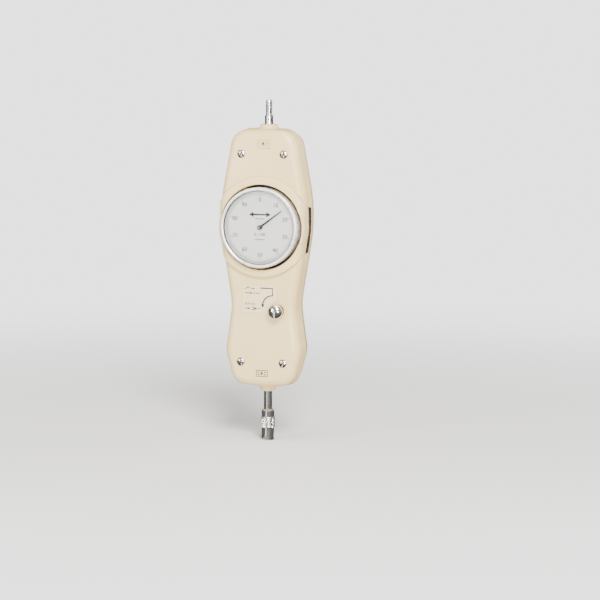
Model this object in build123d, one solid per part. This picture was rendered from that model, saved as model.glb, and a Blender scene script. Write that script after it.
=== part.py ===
from build123d import *

import os
from math import acos, atan, cos, degrees, pi, radians, sin, tan

# Dial force gauge: a push and pull gauge with a rotating dial, a rack-driven pointer and a mode button.
# The origin is the centre of the four mounting holes on the rear face. +Z runs up along the measuring
# shaft, the dial faces -Y and +X is to the right of someone who reads the dial. All sizes are in mm.
# Depths are counted from the flat front face, positive towards the rear face.

# casing
CASE_DEPTH = 33.0
PART_DEPTH = 15.0
WALL = 2.5
# corners of the casing's outline at its parting plane: (x, z, radius), mirrored for the left side
CROWN = (0.0, 92.7, 200.0)
SHOULDER = (23.9, 91.5, 13.6)
CHEEK = (35.3, 29.8, 133.0)
WAIST = (24.65, -34.7, 45.0)
LOBE = (29.4, -67.8, 25.0)
CHIN = (22.3, -91.5, 14.0)
HEEL = (0.0, -92.7, 200.0)
FRONT_DRAFT = 1.0
REAR_DRAFT = 4.5
FRONT_ROUND = 5.6
REAR_ROUND = 6.0
HOLLOW_CHAMFER = 2.0
SKIN = 0.02                     # gap between pieces that are pressed or screwed together
BEYOND = 1.0                    # how far a cutter runs past what it cuts
EDGE = 0.3                      # small broken edges
TOUCH = 0.01                    # how near its depth an edge has to lie to be part of a rim

# raised round for the dial, and the groove that the thumb ring turns in
DIAL_Z = 22.0
PLATEAU_R = 36.2
PLATEAU_RISE = 2.5
PLATEAU_LEAN = 0.6
RECESS_R = 31.0
COLLAR_R = 33.2
GROOVE_R = 35.8
GROOVE_FRONT = 7.3
SILL_FRONT = 13.2
SILL_INNER_R = 30.2
SILL_X = 28.0
SILL_LOW, SILL_HIGH = -10.0, 60.0

# bosses round the shaft at the casing's ends
BOSS_TOP, BOSS_BOTTOM = 95.0, -98.0
BOSS_TIP_R = 5.8
UPPER_BOSS_R, UPPER_BOSS_H = 9.0, 6.0
LOWER_BOSS_R, LOWER_BOSS_H = 7.6, 9.0

# casing screws, their posts, and the tapped holes for mounting
SCREW_X = 16.0
SCREW_TOP_Z, SCREW_LOW_Z = 74.0, -76.0
SCREW_HEAD_R, SCREW_HEAD_H = 2.8, 1.6
SCREW_R = 1.4
SCREW_FRONT, SCREW_LENGTH = -0.5, 19.0
SCREW_FACE_R, SCREW_SLOPE = 2.1, 0.64
CROSS_ARM, CROSS_HALF, CROSS_DEPTH = 1.54, 0.385, 0.8
SLOT_WIDTH_SHARE, SLOT_DEPTH_SHARE = 1 / 8, 1 / 3     # a plain slot, against its head's radius and height
COUNTERBORE_R, COUNTERBORE_DEPTH = 3.1, 1.1
CLEARANCE_R = 1.6
POST_R = 3.6
HOLE_X, HOLE_Z = 10.0, 45.0
HOLE_R, HOLE_DEPTH = 1.65, 8.0
PAD_R, PAD_DEPTH = 4.2, 10.0

# measuring shaft
SHAFT_R = 3.0
RUNNING = 0.05
STUD_R = 2.5
STUD_TOP, STUD_BASE = 112.4, 101.6
SHAFT_CHAMFER = 0.6
TENON_LENGTH = 9.0
HEAD_R, HEAD_TOP, HEAD_BOTTOM = 4.6, -111.5, -133.8
HEAD_CHAMFER = 1.2
BAND_R, BAND_TOP, BAND_BOTTOM, BAND_SLOPE = 5.1, -117.5, -124.7, 0.5
NOTCH_HALF, NOTCH_DEPTH = 3.9, 3.2
BUSHING_R, BUSHING_LENGTH = 4.5, 11.0
BUSHING_FLANGE_R, BUSHING_FLANGE_H = 6.0, 1.0
COLLAR_LOW, COLLAR_HIGH = 58.5, 62.0
SPRING_SEAT_R, SPRING_SEAT_H, SPRING_GUIDE_R = 8.0, 2.0, 5.2
SPRING_COILS, SPRING_R, SPRING_WIRE_R, SPRING_STEPS = 5, 6.4, 0.8, 12
WIRE_SIDES = 6

# angle bracket that the shaft's collar rests on
STOP_HALF, STOP_THICK, STOP_HEIGHT = 11.0, 2.0, 13.0
STOP_FRONT, STOP_GAP, STOP_FORK_R = 13.4, 0.05, 3.4
STOP_SCREW_X, STOP_SCREW_Z, STOP_SCREW_LENGTH = 7.0, 64.45, 3.3
STOP_HEAD_R, STOP_HEAD_H, STOP_SCREW_R = 2.2, 1.3, 1.2

# rack and train
TOOTH_PITCH = 1.0
MODULE = TOOTH_PITCH / pi
PRESSURE = radians(20)
ADDENDUM, DEDENDUM = 0.9 * MODULE, 1.25 * MODULE
BACKLASH = 0.10
RACK_PINION_TEETH, WHEEL_TEETH, CENTRE_TEETH = 20, 48, 24
TRAIN_X = -MODULE * (WHEEL_TEETH + CENTRE_TEETH) / 2
RACK_X = TRAIN_X + MODULE * RACK_PINION_TEETH / 2
RACK_LOW, RACK_HIGH, RACK_BACK_X = 0.0, 27.0, -4.4
RACK_FRONT, RACK_BACK = 6.4, 8.8
RACK_TEETH_BELOW, RACK_TEETH_ABOVE = 13, 4
BRACKET_X, BRACKET_BACK, BRACKET_HIGH = 4.6, 19.0, 6.0
GRUB_R, GRUB_GAP = 0.55, 0.2
ARBOR_R, COLLET_R = 0.75, 1.58
WHEEL_FRONT, WHEEL_BACK = 3.0, 4.2
CENTRE_FRONT, CENTRE_BACK = 2.8, 4.4
PINION_FRONT, PINION_BACK = 6.2, 9.0

# movement plates
PLATE_R, PLATE_CUT_Z = 20.5, 16.8
REAR_PLATE_FRONT, REAR_PLATE_BACK = 10.0, 11.5
FRONT_PLATE_R, FRONT_PLATE_FRONT, FRONT_PLATE_BACK = 19.5, 1.0, 2.5
PLATE_POSTS = [(-17.0, 24.0), (17.0, 24.0), (-10.0, 37.5), (10.0, 37.5)]
PLATE_POST_R, PLATE_SCREW_R, PLATE_SCREW_DEPTH, PLATE_SCREW_GAP = 2.8, 0.9, 19.0, 0.25
PLATE_HEAD_R, PLATE_HEAD_H = 1.9, 1.1
PILLARS, PILLAR_R = [(14.5, 19.5), (-14.5, 34.0), (5.0, 39.0)], 1.9
HUB_R, HUB_FRONT, HUB_NECK_R = 4.0, -3.1, 3.0
HAIR_TURNS, HAIR_STEPS, HAIR_INNER, HAIR_OUTER, HAIR_STRIP = 3, 12, 2.0, 5.0, 0.12
HAIR_FRONT, HAIR_BACK, HAIR_PIN_R = 9.1, 9.7, 0.4
FINGERS, FINGER_TURN, FINGER_X = 3, 30, 8.0
FINGER_W, FINGER_H, FINGER_FRONT = 2.6, 3.0, -1.1
FRICTION_R, FRICTION_INNER_R, FRICTION_FRONT = 9.5, 6.5, 0.7

# pointer
POINTER_FRONT, POINTER_BACK = -5.1, -4.7
POINTER_LENGTH, POINTER_ANGLE = 20.6, 53.0
POINTER_TIP, POINTER_ROOT, POINTER_RING_R = 0.16, 0.75, 1.5
CAP_R, CAP_FRONT, CAP_EDGE, CAP_FACE_R = 1.1, -5.75, 0.25, 0.7

# dial, lens and bezel
DIAL_R, DIAL_FRONT, DIAL_BACK, DIAL_BORE_R = 26.6, -4.0, -3.2, 2.2
SKIRT_R, SKIRT_INNER_R = 28.0, 26.0
CARRIER_WEB, CARRIER_HUB_R, CARRIER_HUB_BACK = 2.0, 5.5, 0.4
THUMB_R, RIB_DEPTH, THUMB_RIBS = 33.5, 0.7, 72
THUMB_FRONT, THUMB_BACK = 7.5, 11.7
LENS_R, LENS_FRONT, LENS_BACK = 26.9, -7.4, -6.2
SEAT_INNER_R, SEAT_FRONT_R, SEAT_LIP = 24.1, 26.0, 0.3
BEZEL_R, BEZEL_FRONT, BEZEL_BACK = 28.8, -8.0, -1.0
BEZEL_INNER_R, BEZEL_ROLL = 26.5, 0.9

# mode button and brake
BUTTON_X, BUTTON_Z = 12.0, -38.0
BUTTON_R, BUTTON_FRONT, BUTTON_RIM, BUTTON_BEND = 5.4, -8.6, -3.2, -5.0
BUTTON_HOLLOW_R, BUTTON_ROOF, BUTTON_SOCKET = 4.2, -5.4, -6.6
DOME_STEPS = 5
BUTTON_BOSS_R, BUTTON_BOSS_BACK = 6.0, 5.5
BUTTON_FLANGE_R, BUTTON_FLANGE_H, BUTTON_BORE_R = 4.9, 0.95, 3.95
STEM_R, STEM_BACK, STEM_TIP_R, STEM_TIP = 2.0, 12.9, 0.8, 0.9
GROOVE_NECK_R, NECK_FRONT, NECK_BACK = 1.5, 6.0, 7.2
WASHER_R = 3.6
RETURN_COILS, RETURN_STEPS, RETURN_R, RETURN_WIRE_R = 3, 10, 3.0, 0.35
RETURN_FRONT, RETURN_BACK = -5.0, -0.4
LEVER_X, LEVER_Z, LEVER_DEPTH = 9.0, 24.0, 14.0
LEVER_FRONT, LEVER_BACK, LEVER_HALF = 13.2, 14.6, 2.0
LEVER_FOOT, LEVER_TOE = 3.0, 2.5
LEVER_HUB_R, LEVER_HUB_LENGTH = 1.6, 4.4
PIN_R, PIN_LENGTH = 0.8, 8.4
EAR_INNER, EAR_THICK, EAR_HALF, EAR_BACK = 2.4, 1.2, 2.0, 15.6
DISC_R, DISC_FRONT, DISC_BACK = 9.5, 4.8, 5.6
ARM_X_LOW, ARM_X_HIGH, ARM_Z_LOW, ARM_Z_HIGH = 5.6, 7.6, 12.0, 14.8
ARM_TIP_LOW, ARM_TIP_FRONT = 13.2, 7.4
SHOE_LOW, SHOE_FRONT = 13.4, 5.65

# legend plate
LEGEND_X, LEGEND_Z = -1.1, -29.9
LEGEND_W, LEGEND_H, LEGEND_THICK = 26.0, 20.0, 0.5
LEGEND_CORNER, LEGEND_NOTCH_R = 1.0, 6.2


def y_at(depth):
    """Y of a depth counted from the flat front face."""
    return depth - CASE_DEPTH


SHAFT_Y = y_at(PART_DEPTH)


def prism(sketch, front, back, x=0.0, z=DIAL_Z):
    """A sketch drawn as (x, z), made solid from one depth to another."""
    plane = Plane(origin=(x, y_at(back), z), x_dir=(1, 0, 0), z_dir=(0, -1, 0))
    return extrude(plane * sketch, amount=back - front)


def drum(radius, front, back, x=0.0, z=DIAL_Z):
    """A cylinder along Y."""
    return prism(Circle(radius), front, back, x, z)


def ring(outer, inner, front, back, x=0.0, z=DIAL_Z):
    return prism(Circle(outer) - Circle(inner), front, back, x, z)


def block(x_low, x_high, front, back, z_low, z_high):
    size = (x_high - x_low, back - front, z_high - z_low)
    middle = ((x_low + x_high) / 2, y_at((front + back) / 2), (z_low + z_high) / 2)
    return Pos(*middle) * Box(*size)


def rod(radius, low, high):
    """A cylinder on the shaft's axis."""
    return Pos(0, SHAFT_Y, (low + high) / 2) * Cylinder(radius, high - low)


def cross_rod(radius, length, x, depth, z):
    """A cylinder along X."""
    return Pos(x, y_at(depth), z) * Rot(0, 90, 0) * Cylinder(radius, length)


def turned(profile, x=0.0, z=DIAL_Z):
    """A profile of (radius, depth) corners, turned about an axis along Y."""
    corners = [(x + radius, y_at(depth), z) for radius, depth in profile]
    face = make_face(Polyline(*corners, close=True))
    return revolve(face, Axis((x, 0, z), (0, 1, 0)), 360)


def turned_upright(profile):
    """A profile of (radius, z) corners, turned about the shaft's axis."""
    corners = [(radius, SHAFT_Y, z) for radius, z in profile]
    face = make_face(Polyline(*corners, close=True))
    return revolve(face, Axis((0, SHAFT_Y, 0), (0, 0, 1)), 360)


def wound(wire_r, sides, points):
    """A wire with flat sides, swept along the points of a helix."""
    path = Polyline(*points)
    section = Plane(origin=path @ 0, z_dir=path % 0) * RegularPolygon(wire_r, sides)
    return sweep(section, path=path, transition=Transition.RIGHT)


# ---- casing ----

def case_outline(inset=0.0):
    """The casing's closed outline: straight runs joined by arcs."""
    right = [SHOULDER, CHEEK, WAIST, LOBE, CHIN]
    left = [(-x, z, radius) for x, z, radius in reversed(right)]
    corners = [CROWN] + right + [HEEL] + left
    points = [(x, z) for x, z, radius in corners]
    radii = [radius for x, z, radius in corners]
    line = FilletPolyline(*points, radius=radii, close=True)
    face = make_face(line)
    return offset(face, -inset) if inset else face


def case_form(base, end, draft, inset=0.0):
    """A solid that rises from the outline at one depth to another, drawn in by the draft."""
    side = 1 if end < base else -1
    plane = Plane(origin=(0, y_at(base), 0), x_dir=(side, 0, 0), z_dir=(0, -side, 0))
    height = abs(end - base)
    return extrude(plane * case_outline(inset), amount=height, taper=degrees(atan(draft / height)))


def rim_at(form, depth):
    return [edge for edge in form.edges() if abs(edge.center().Y - y_at(depth)) < TOUCH]


def case_body(base, end, draft, rounding):
    form = case_form(base, end, draft)
    return fillet(rim_at(form, end), rounding)


def case_hollow(base, end, draft):
    form = case_form(base, end, draft, WALL)
    return chamfer(rim_at(form, end), HOLLOW_CHAMFER)


def neck_bosses():
    """Tapered bosses round the shaft above and below the casing."""
    upper_root, lower_root = BOSS_TOP - UPPER_BOSS_H, BOSS_BOTTOM + LOWER_BOSS_H
    upper = turned_upright([(0, upper_root), (UPPER_BOSS_R, upper_root), (BOSS_TIP_R, BOSS_TOP),
                            (0, BOSS_TOP)])
    lower = turned_upright([(0, BOSS_BOTTOM), (BOSS_TIP_R, BOSS_BOTTOM), (LOWER_BOSS_R, lower_root),
                            (0, lower_root)])
    return upper + lower


def bushing_seats():
    """Material round the two shaft bushings inside the casing."""
    radius, length = BUSHING_R + WALL, BUSHING_LENGTH - BUSHING_FLANGE_H
    upper = rod(radius, BOSS_TOP - length, BOSS_TOP - BEYOND)
    lower = rod(radius, BOSS_BOTTOM + BEYOND, BOSS_BOTTOM + length)
    return upper + lower


def bushing_bores():
    radius, length = BUSHING_R + SKIN, BUSHING_LENGTH + BEYOND
    upper = rod(radius, BOSS_TOP - length, BOSS_TOP + BEYOND)
    lower = rod(radius, BOSS_BOTTOM - BEYOND, BOSS_BOTTOM + length)
    return upper + lower


def half_space(front, back):
    """Everything between two depths, as wide and high as the casing needs."""
    return block(-2 * PLATEAU_R, 2 * PLATEAU_R, front, back, 2 * BOSS_BOTTOM, 2 * BOSS_TOP)


def screw_places():
    return [(x, z) for x in (-SCREW_X, SCREW_X) for z in (SCREW_TOP_Z, SCREW_LOW_Z)]


def hole_places():
    return [(x, z) for x in (-HOLE_X, HOLE_X) for z in (-HOLE_Z, HOLE_Z)]


def front_shell():
    outer = case_body(PART_DEPTH, 0, FRONT_DRAFT, FRONT_ROUND)
    tall = case_body(PART_DEPTH, -PLATEAU_RISE, FRONT_DRAFT, FRONT_ROUND)
    raised = turned([(0, -PLATEAU_RISE - BEYOND), (PLATEAU_R - PLATEAU_LEAN, -PLATEAU_RISE - BEYOND),
                     (PLATEAU_R, BEYOND), (PLATEAU_R, WALL + BEYOND), (0, WALL + BEYOND)])
    front_half = half_space(-BEYOND, PART_DEPTH)
    shell = outer + (tall & raised) + (neck_bosses() & front_half)
    shell -= case_hollow(PART_DEPTH + BEYOND, WALL, FRONT_DRAFT)
    shell += bushing_seats() & front_half & outer
    shell += ring(COLLAR_R, RECESS_R, -PLATEAU_RISE, GROOVE_FRONT) & tall
    for x, z in screw_places():
        shell += drum(POST_R, WALL / 2, PART_DEPTH, x, z)
    shell += drum(BUTTON_BOSS_R, WALL / 2, BUTTON_BOSS_BACK, BUTTON_X, BUTTON_Z)
    shell -= drum(RECESS_R, -PLATEAU_RISE - BEYOND, GROOVE_FRONT + BEYOND)
    shell -= drum(GROOVE_R, GROOVE_FRONT, PART_DEPTH + BEYOND)
    shell -= bushing_bores()
    for x, z in screw_places():
        shell -= drum(COUNTERBORE_R, -BEYOND, COUNTERBORE_DEPTH, x, z)
        shell -= drum(CLEARANCE_R, -BEYOND, PART_DEPTH + BEYOND, x, z)
    shell -= drum(BUTTON_FLANGE_R + RUNNING, -BEYOND, BUTTON_FLANGE_H + RUNNING, BUTTON_X, BUTTON_Z)
    shell -= drum(BUTTON_BORE_R + RUNNING, -BEYOND, BUTTON_BOSS_BACK + BEYOND, BUTTON_X, BUTTON_Z)
    return shell


def side_sills():
    """Sills that close the rear edge of the two side windows, behind the thumb ring."""
    strip = ring(GROOVE_R - RUNNING, SILL_INNER_R, SILL_FRONT, PART_DEPTH + BEYOND)
    inside = case_form(PART_DEPTH + BEYOND, 0, FRONT_DRAFT)
    right = block(SILL_X, 2 * SILL_X, 0, CASE_DEPTH, SILL_LOW, SILL_HIGH)
    left = block(-2 * SILL_X, -SILL_X, 0, CASE_DEPTH, SILL_LOW, SILL_HIGH)
    return strip & inside & (left + right)


def rear_shell():
    outer = case_body(PART_DEPTH, CASE_DEPTH, REAR_DRAFT, REAR_ROUND)
    rear_half = half_space(PART_DEPTH, CASE_DEPTH)
    shell = outer + (neck_bosses() & rear_half)
    shell -= case_hollow(PART_DEPTH - BEYOND, CASE_DEPTH - WALL, REAR_DRAFT)
    shell += bushing_seats() & rear_half & outer
    shell += side_sills()
    floor = CASE_DEPTH - WALL / 2
    for x, z in screw_places():
        shell += drum(POST_R, PART_DEPTH, floor, x, z)
    for x, z in PLATE_POSTS:
        shell += drum(PLATE_POST_R, REAR_PLATE_BACK, floor, x, z)
    for x, z in hole_places():
        shell += drum(PAD_R, CASE_DEPTH - PAD_DEPTH, floor, x, z)
    for x, z in screw_places():
        shell -= drum(SCREW_R + SKIN, PART_DEPTH - BEYOND, SCREW_FRONT + SCREW_LENGTH + BEYOND, x, z)
    for x, z in PLATE_POSTS:
        shell -= drum(PLATE_SCREW_R + SKIN, REAR_PLATE_BACK - BEYOND, PLATE_SCREW_DEPTH, x, z)
    for x, z in hole_places():
        shell -= drum(HOLE_R, CASE_DEPTH - HOLE_DEPTH, CASE_DEPTH + BEYOND, x, z)
    return shell - bushing_bores()


def slot(half_length, half_width, front, depth, x, z):
    return block(x - half_length, x + half_length, front - BEYOND, front + depth,
                 z - half_width, z + half_width)


def cover_screws():
    """Four screws with sloping heads and crossed slots."""
    seat, end = SCREW_FRONT + SCREW_HEAD_H, SCREW_FRONT + SCREW_LENGTH
    profile = [(0, SCREW_FRONT), (SCREW_FACE_R, SCREW_FRONT), (SCREW_HEAD_R, SCREW_FRONT + SCREW_SLOPE),
               (SCREW_HEAD_R, seat), (SCREW_R, seat), (SCREW_R, end), (0, end)]
    screws = []
    for x, z in screw_places():
        screw = turned(profile, x, z)
        for half_x, half_z in ((CROSS_ARM, CROSS_HALF), (CROSS_HALF, CROSS_ARM)):
            screw -= slot(half_x, half_z, SCREW_FRONT, CROSS_DEPTH, x, z)
        screws.append(screw)
    return Compound(children=screws)


def slotted_screws(head_r, head_h, body_r, front, length, places):
    half_width, depth = head_r * SLOT_WIDTH_SHARE, head_h * SLOT_DEPTH_SHARE
    screws = []
    for x, z in places:
        screw = drum(head_r, front, front + head_h, x, z) + drum(body_r, front, front + length, x, z)
        screws.append(screw - slot(head_r + BEYOND, half_width, front, depth, x, z))
    return Compound(children=screws)


def legend_plate():
    plate = block(LEGEND_X - LEGEND_W / 2, LEGEND_X + LEGEND_W / 2, -LEGEND_THICK, 0,
                  LEGEND_Z - LEGEND_H / 2, LEGEND_Z + LEGEND_H / 2)
    plate = fillet(plate.edges().filter_by(Axis.Y), LEGEND_CORNER)
    return plate - drum(LEGEND_NOTCH_R, -LEGEND_THICK - BEYOND, BEYOND, BUTTON_X, BUTTON_Z)


# ---- shaft ----

def bushing(mouth, inward):
    """A flanged bushing: mouth is the z of its outer end, inward is the way to its flange."""
    end = mouth + inward * BUSHING_LENGTH
    flange = end - inward * BUSHING_FLANGE_H
    bore = SHAFT_R + RUNNING
    return turned_upright([(bore, mouth), (BUSHING_R, mouth), (BUSHING_R, flange), (BUSHING_FLANGE_R, flange),
                           (BUSHING_FLANGE_R, end), (bore, end)])


def main_shaft():
    """Shaft with a stud at its top and a tenon for the pushing head at its foot."""
    foot = HEAD_TOP - TENON_LENGTH
    return turned_upright([(0, foot), (STUD_R, foot), (STUD_R, HEAD_TOP), (SHAFT_R, HEAD_TOP),
                           (SHAFT_R, STUD_BASE - SHAFT_CHAMFER), (STUD_R, STUD_BASE),
                           (STUD_R, STUD_TOP - SHAFT_CHAMFER), (STUD_R - SHAFT_CHAMFER, STUD_TOP),
                           (0, STUD_TOP)])


def notch_head():
    """Pushing head with a V notch that runs front to back."""
    head = turned_upright([(0, HEAD_BOTTOM), (HEAD_R - EDGE, HEAD_BOTTOM), (HEAD_R, HEAD_BOTTOM + EDGE),
                           (HEAD_R, BAND_BOTTOM - BAND_SLOPE), (BAND_R, BAND_BOTTOM), (BAND_R, BAND_TOP),
                           (HEAD_R, BAND_TOP + BAND_SLOPE), (HEAD_R, HEAD_TOP - HEAD_CHAMFER),
                           (HEAD_R - HEAD_CHAMFER, HEAD_TOP), (0, HEAD_TOP)])
    head -= rod(STUD_R + SKIN, HEAD_TOP - TENON_LENGTH - BEYOND, HEAD_TOP + BEYOND)
    wedge = Polygon((-NOTCH_HALF, 0), (NOTCH_HALF, 0), (0, NOTCH_DEPTH), align=None)
    return head - prism(wedge, PART_DEPTH - 2 * HEAD_R, PART_DEPTH + 2 * HEAD_R, 0, HEAD_BOTTOM)


def spring_collar():
    """Collar on the shaft: it rests on the stop bracket and carries the spring."""
    bore, seat = SHAFT_R + SKIN / 2, COLLAR_LOW + SPRING_SEAT_H
    return turned_upright([(bore, COLLAR_LOW), (SPRING_SEAT_R, COLLAR_LOW), (SPRING_SEAT_R, seat),
                           (SPRING_GUIDE_R, seat), (SPRING_GUIDE_R, COLLAR_HIGH), (bore, COLLAR_HIGH)])


def main_spring():
    """Round the shaft, from the collar's flange to the upper bushing."""
    low = COLLAR_LOW + SPRING_SEAT_H + SPRING_WIRE_R
    high = BOSS_TOP - BUSHING_LENGTH - SPRING_WIRE_R
    count = SPRING_COILS * SPRING_STEPS
    points = []
    for step in range(count + 1):
        angle = 2 * pi * step / SPRING_STEPS
        z = low + (high - low) * step / count
        points.append((SPRING_R * cos(angle), SHAFT_Y + SPRING_R * sin(angle), z))
    return wound(SPRING_WIRE_R, WIRE_SIDES, points)


def stop_bracket():
    """Angle bracket on the rear wall: the collar rests on its forked shelf."""
    high = COLLAR_LOW - STOP_GAP
    low, wall = high - STOP_THICK, CASE_DEPTH - WALL
    bracket = block(-STOP_HALF, STOP_HALF, STOP_FRONT, wall, low, high)
    bracket += block(-STOP_HALF, STOP_HALF, wall - STOP_THICK, wall, low, low + STOP_HEIGHT)
    bracket -= block(-STOP_FORK_R, STOP_FORK_R, STOP_FRONT - BEYOND, PART_DEPTH, low - BEYOND, high + BEYOND)
    bracket -= rod(STOP_FORK_R, low - BEYOND, high + BEYOND)
    for x in (-STOP_SCREW_X, STOP_SCREW_X):
        bracket -= drum(STOP_SCREW_R + RUNNING, wall - STOP_THICK - BEYOND, wall + BEYOND, x, STOP_SCREW_Z)
    return bracket


def stop_screws():
    places = [(x, STOP_SCREW_Z) for x in (-STOP_SCREW_X, STOP_SCREW_X)]
    front = CASE_DEPTH - WALL - STOP_THICK - STOP_HEAD_H
    return slotted_screws(STOP_HEAD_R, STOP_HEAD_H, STOP_SCREW_R, front, STOP_SCREW_LENGTH, places)


# ---- rack and train ----

def involute(angle):
    return tan(angle) - angle


def tooth_half_angle(radius, teeth):
    """Half the angle that a tooth fills at a radius."""
    base_r = MODULE * teeth / 2 * cos(PRESSURE)
    at_pitch = (1 - BACKLASH) * pi / (2 * teeth)
    pressure = acos(base_r / radius) if radius > base_r else 0.0
    return at_pitch + involute(PRESSURE) - involute(pressure)


def gear(teeth, bore, start):
    """A spur gear's sketch: flanks through the involute, with a tooth's middle at the start angle."""
    pitch_r = MODULE * teeth / 2
    levels = [pitch_r - DEDENDUM, pitch_r, pitch_r + ADDENDUM]
    corners = []
    for tooth in range(teeth):
        middle = start + 2 * pi * tooth / teeth
        rising = [(r, middle - tooth_half_angle(r, teeth)) for r in levels]
        falling = [(r, middle + tooth_half_angle(r, teeth)) for r in reversed(levels)]
        corners += [(r * cos(a), r * sin(a)) for r, a in rising + falling]
    return make_face(Polyline(*corners, close=True)) - Circle(bore)


def train_wheel():
    """48 teeth; one of them points at the centre pinion."""
    return prism(gear(WHEEL_TEETH, COLLET_R + SKIN, 0.0), WHEEL_FRONT, WHEEL_BACK, TRAIN_X)


def centre_pinion():
    """24 teeth, with a gap that faces the wheel's tooth."""
    gap = pi + pi / CENTRE_TEETH
    return prism(gear(CENTRE_TEETH, ARBOR_R + SKIN / 2, gap), CENTRE_FRONT, CENTRE_BACK)


def rack_pinion():
    """20 teeth, with a tooth that points at the rack."""
    return prism(gear(RACK_PINION_TEETH, ARBOR_R + SKIN / 2, 0.0), PINION_FRONT, PINION_BACK, TRAIN_X)


def stepped_arbor(x, front, back, collet_front, collet_back):
    """An arbor with a wide collet where its wheel sits."""
    return turned([(0, front), (ARBOR_R, front), (ARBOR_R, collet_front), (COLLET_R, collet_front),
                   (COLLET_R, collet_back), (ARBOR_R, collet_back), (ARBOR_R, back), (0, back)], x)


def train_arbor():
    return stepped_arbor(TRAIN_X, FRONT_PLATE_FRONT, REAR_PLATE_BACK - RUNNING, WHEEL_FRONT - 2 * RUNNING,
                         PINION_FRONT - 2 * RUNNING)


def centre_arbor():
    return stepped_arbor(0, POINTER_FRONT - EDGE, REAR_PLATE_BACK - RUNNING, CENTRE_BACK + 2 * RUNNING,
                         HAIR_FRONT - 4 * RUNNING)


def rack():
    """A bar with teeth towards the rack pinion, whose tooth meets a gap at the pinion's height."""
    half = TOOTH_PITCH * (1 - BACKLASH) / 4
    tip_half, root_half = half - ADDENDUM * tan(PRESSURE), half + DEDENDUM * tan(PRESSURE)
    root_x, tip_x = RACK_X + DEDENDUM, RACK_X - ADDENDUM
    corners = [(RACK_BACK_X, RACK_LOW), (root_x, RACK_LOW)]
    for step in range(-RACK_TEETH_BELOW, RACK_TEETH_ABOVE):
        z = DIAL_Z + (step + 0.5) * TOOTH_PITCH
        corners += [(root_x, z - root_half), (tip_x, z - tip_half)]
        corners += [(tip_x, z + tip_half), (root_x, z + root_half)]
    corners += [(root_x, RACK_HIGH), (RACK_BACK_X, RACK_HIGH)]
    return prism(make_face(Polyline(*corners, close=True)), RACK_FRONT, RACK_BACK, 0, 0)


def rack_bracket():
    """Block clamped on the shaft; the rack is seated on its front."""
    arm = block(RACK_X + 4 * DEDENDUM, BRACKET_X, RACK_BACK, BRACKET_BACK, RACK_LOW, BRACKET_HIGH)
    arm = fillet(arm.edges().filter_by(Axis.Z), EDGE)
    arm -= cross_rod(GRUB_R + SKIN, 2 * SHAFT_R, BRACKET_X, PART_DEPTH, (RACK_LOW + BRACKET_HIGH) / 2)
    return arm - rod(SHAFT_R + SKIN / 2, RACK_LOW - BEYOND, BRACKET_HIGH + BEYOND)


def clamp_screw():
    """Grub screw through the bracket's right side."""
    inner = SHAFT_R + GRUB_GAP
    middle_x, middle_z = (inner + BRACKET_X) / 2, (RACK_LOW + BRACKET_HIGH) / 2
    return cross_rod(GRUB_R, BRACKET_X - inner, middle_x, PART_DEPTH, middle_z)


# ---- movement ----

def plate_sketch(radius):
    """A round plate cut straight along its lower side."""
    low, high = PLATE_CUT_Z - DIAL_Z, radius
    return Circle(radius) & Pos(0, (low + high) / 2) * Rectangle(2 * radius, high - low)


def rear_plate():
    """Movement plate with two ears for the brake lever's pin."""
    plate = prism(plate_sketch(PLATE_R), REAR_PLATE_FRONT, REAR_PLATE_BACK)
    for x in (LEVER_X - EAR_INNER - EAR_THICK, LEVER_X + EAR_INNER):
        plate += block(x, x + EAR_THICK, REAR_PLATE_BACK, EAR_BACK, LEVER_Z - EAR_HALF, LEVER_Z + EAR_HALF)
    plate -= cross_rod(PIN_R + SKIN, PIN_LENGTH + BEYOND, LEVER_X, LEVER_DEPTH, LEVER_Z)
    front, back = REAR_PLATE_FRONT - BEYOND, REAR_PLATE_BACK + BEYOND
    for x, z in PLATE_POSTS:
        plate -= drum(PLATE_SCREW_R + PLATE_SCREW_GAP, front, back, x, z)
    for x in (0, TRAIN_X):
        plate -= drum(ARBOR_R + RUNNING, front, back, x)
    return plate


def front_plate():
    """Movement plate that carries the hub for the dial."""
    plate = prism(plate_sketch(FRONT_PLATE_R), FRONT_PLATE_FRONT, FRONT_PLATE_BACK)
    plate -= drum(HUB_NECK_R, FRONT_PLATE_FRONT - BEYOND, FRONT_PLATE_BACK + BEYOND)
    return plate - drum(ARBOR_R + RUNNING, FRONT_PLATE_FRONT - BEYOND, FRONT_PLATE_BACK + BEYOND, TRAIN_X)


def hub_bushing():
    """The hub that the dial turns on, with the pointer's arbor through it."""
    bore, neck = ARBOR_R + RUNNING, HUB_NECK_R - SKIN
    return turned([(bore, HUB_FRONT), (HUB_R, HUB_FRONT), (HUB_R, FRONT_PLATE_FRONT),
                   (neck, FRONT_PLATE_FRONT), (neck, FRONT_PLATE_BACK), (bore, FRONT_PLATE_BACK)])


def plate_pillars():
    """Pillars riveted between the two plates."""
    return Compound(children=[drum(PILLAR_R, FRONT_PLATE_BACK, REAR_PLATE_FRONT, x, z) for x, z in PILLARS])


def plate_screws():
    front = REAR_PLATE_FRONT - PLATE_HEAD_H
    length = PLATE_SCREW_DEPTH - BEYOND - front
    return slotted_screws(PLATE_HEAD_R, PLATE_HEAD_H, PLATE_SCREW_R, front, length, PLATE_POSTS)


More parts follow.
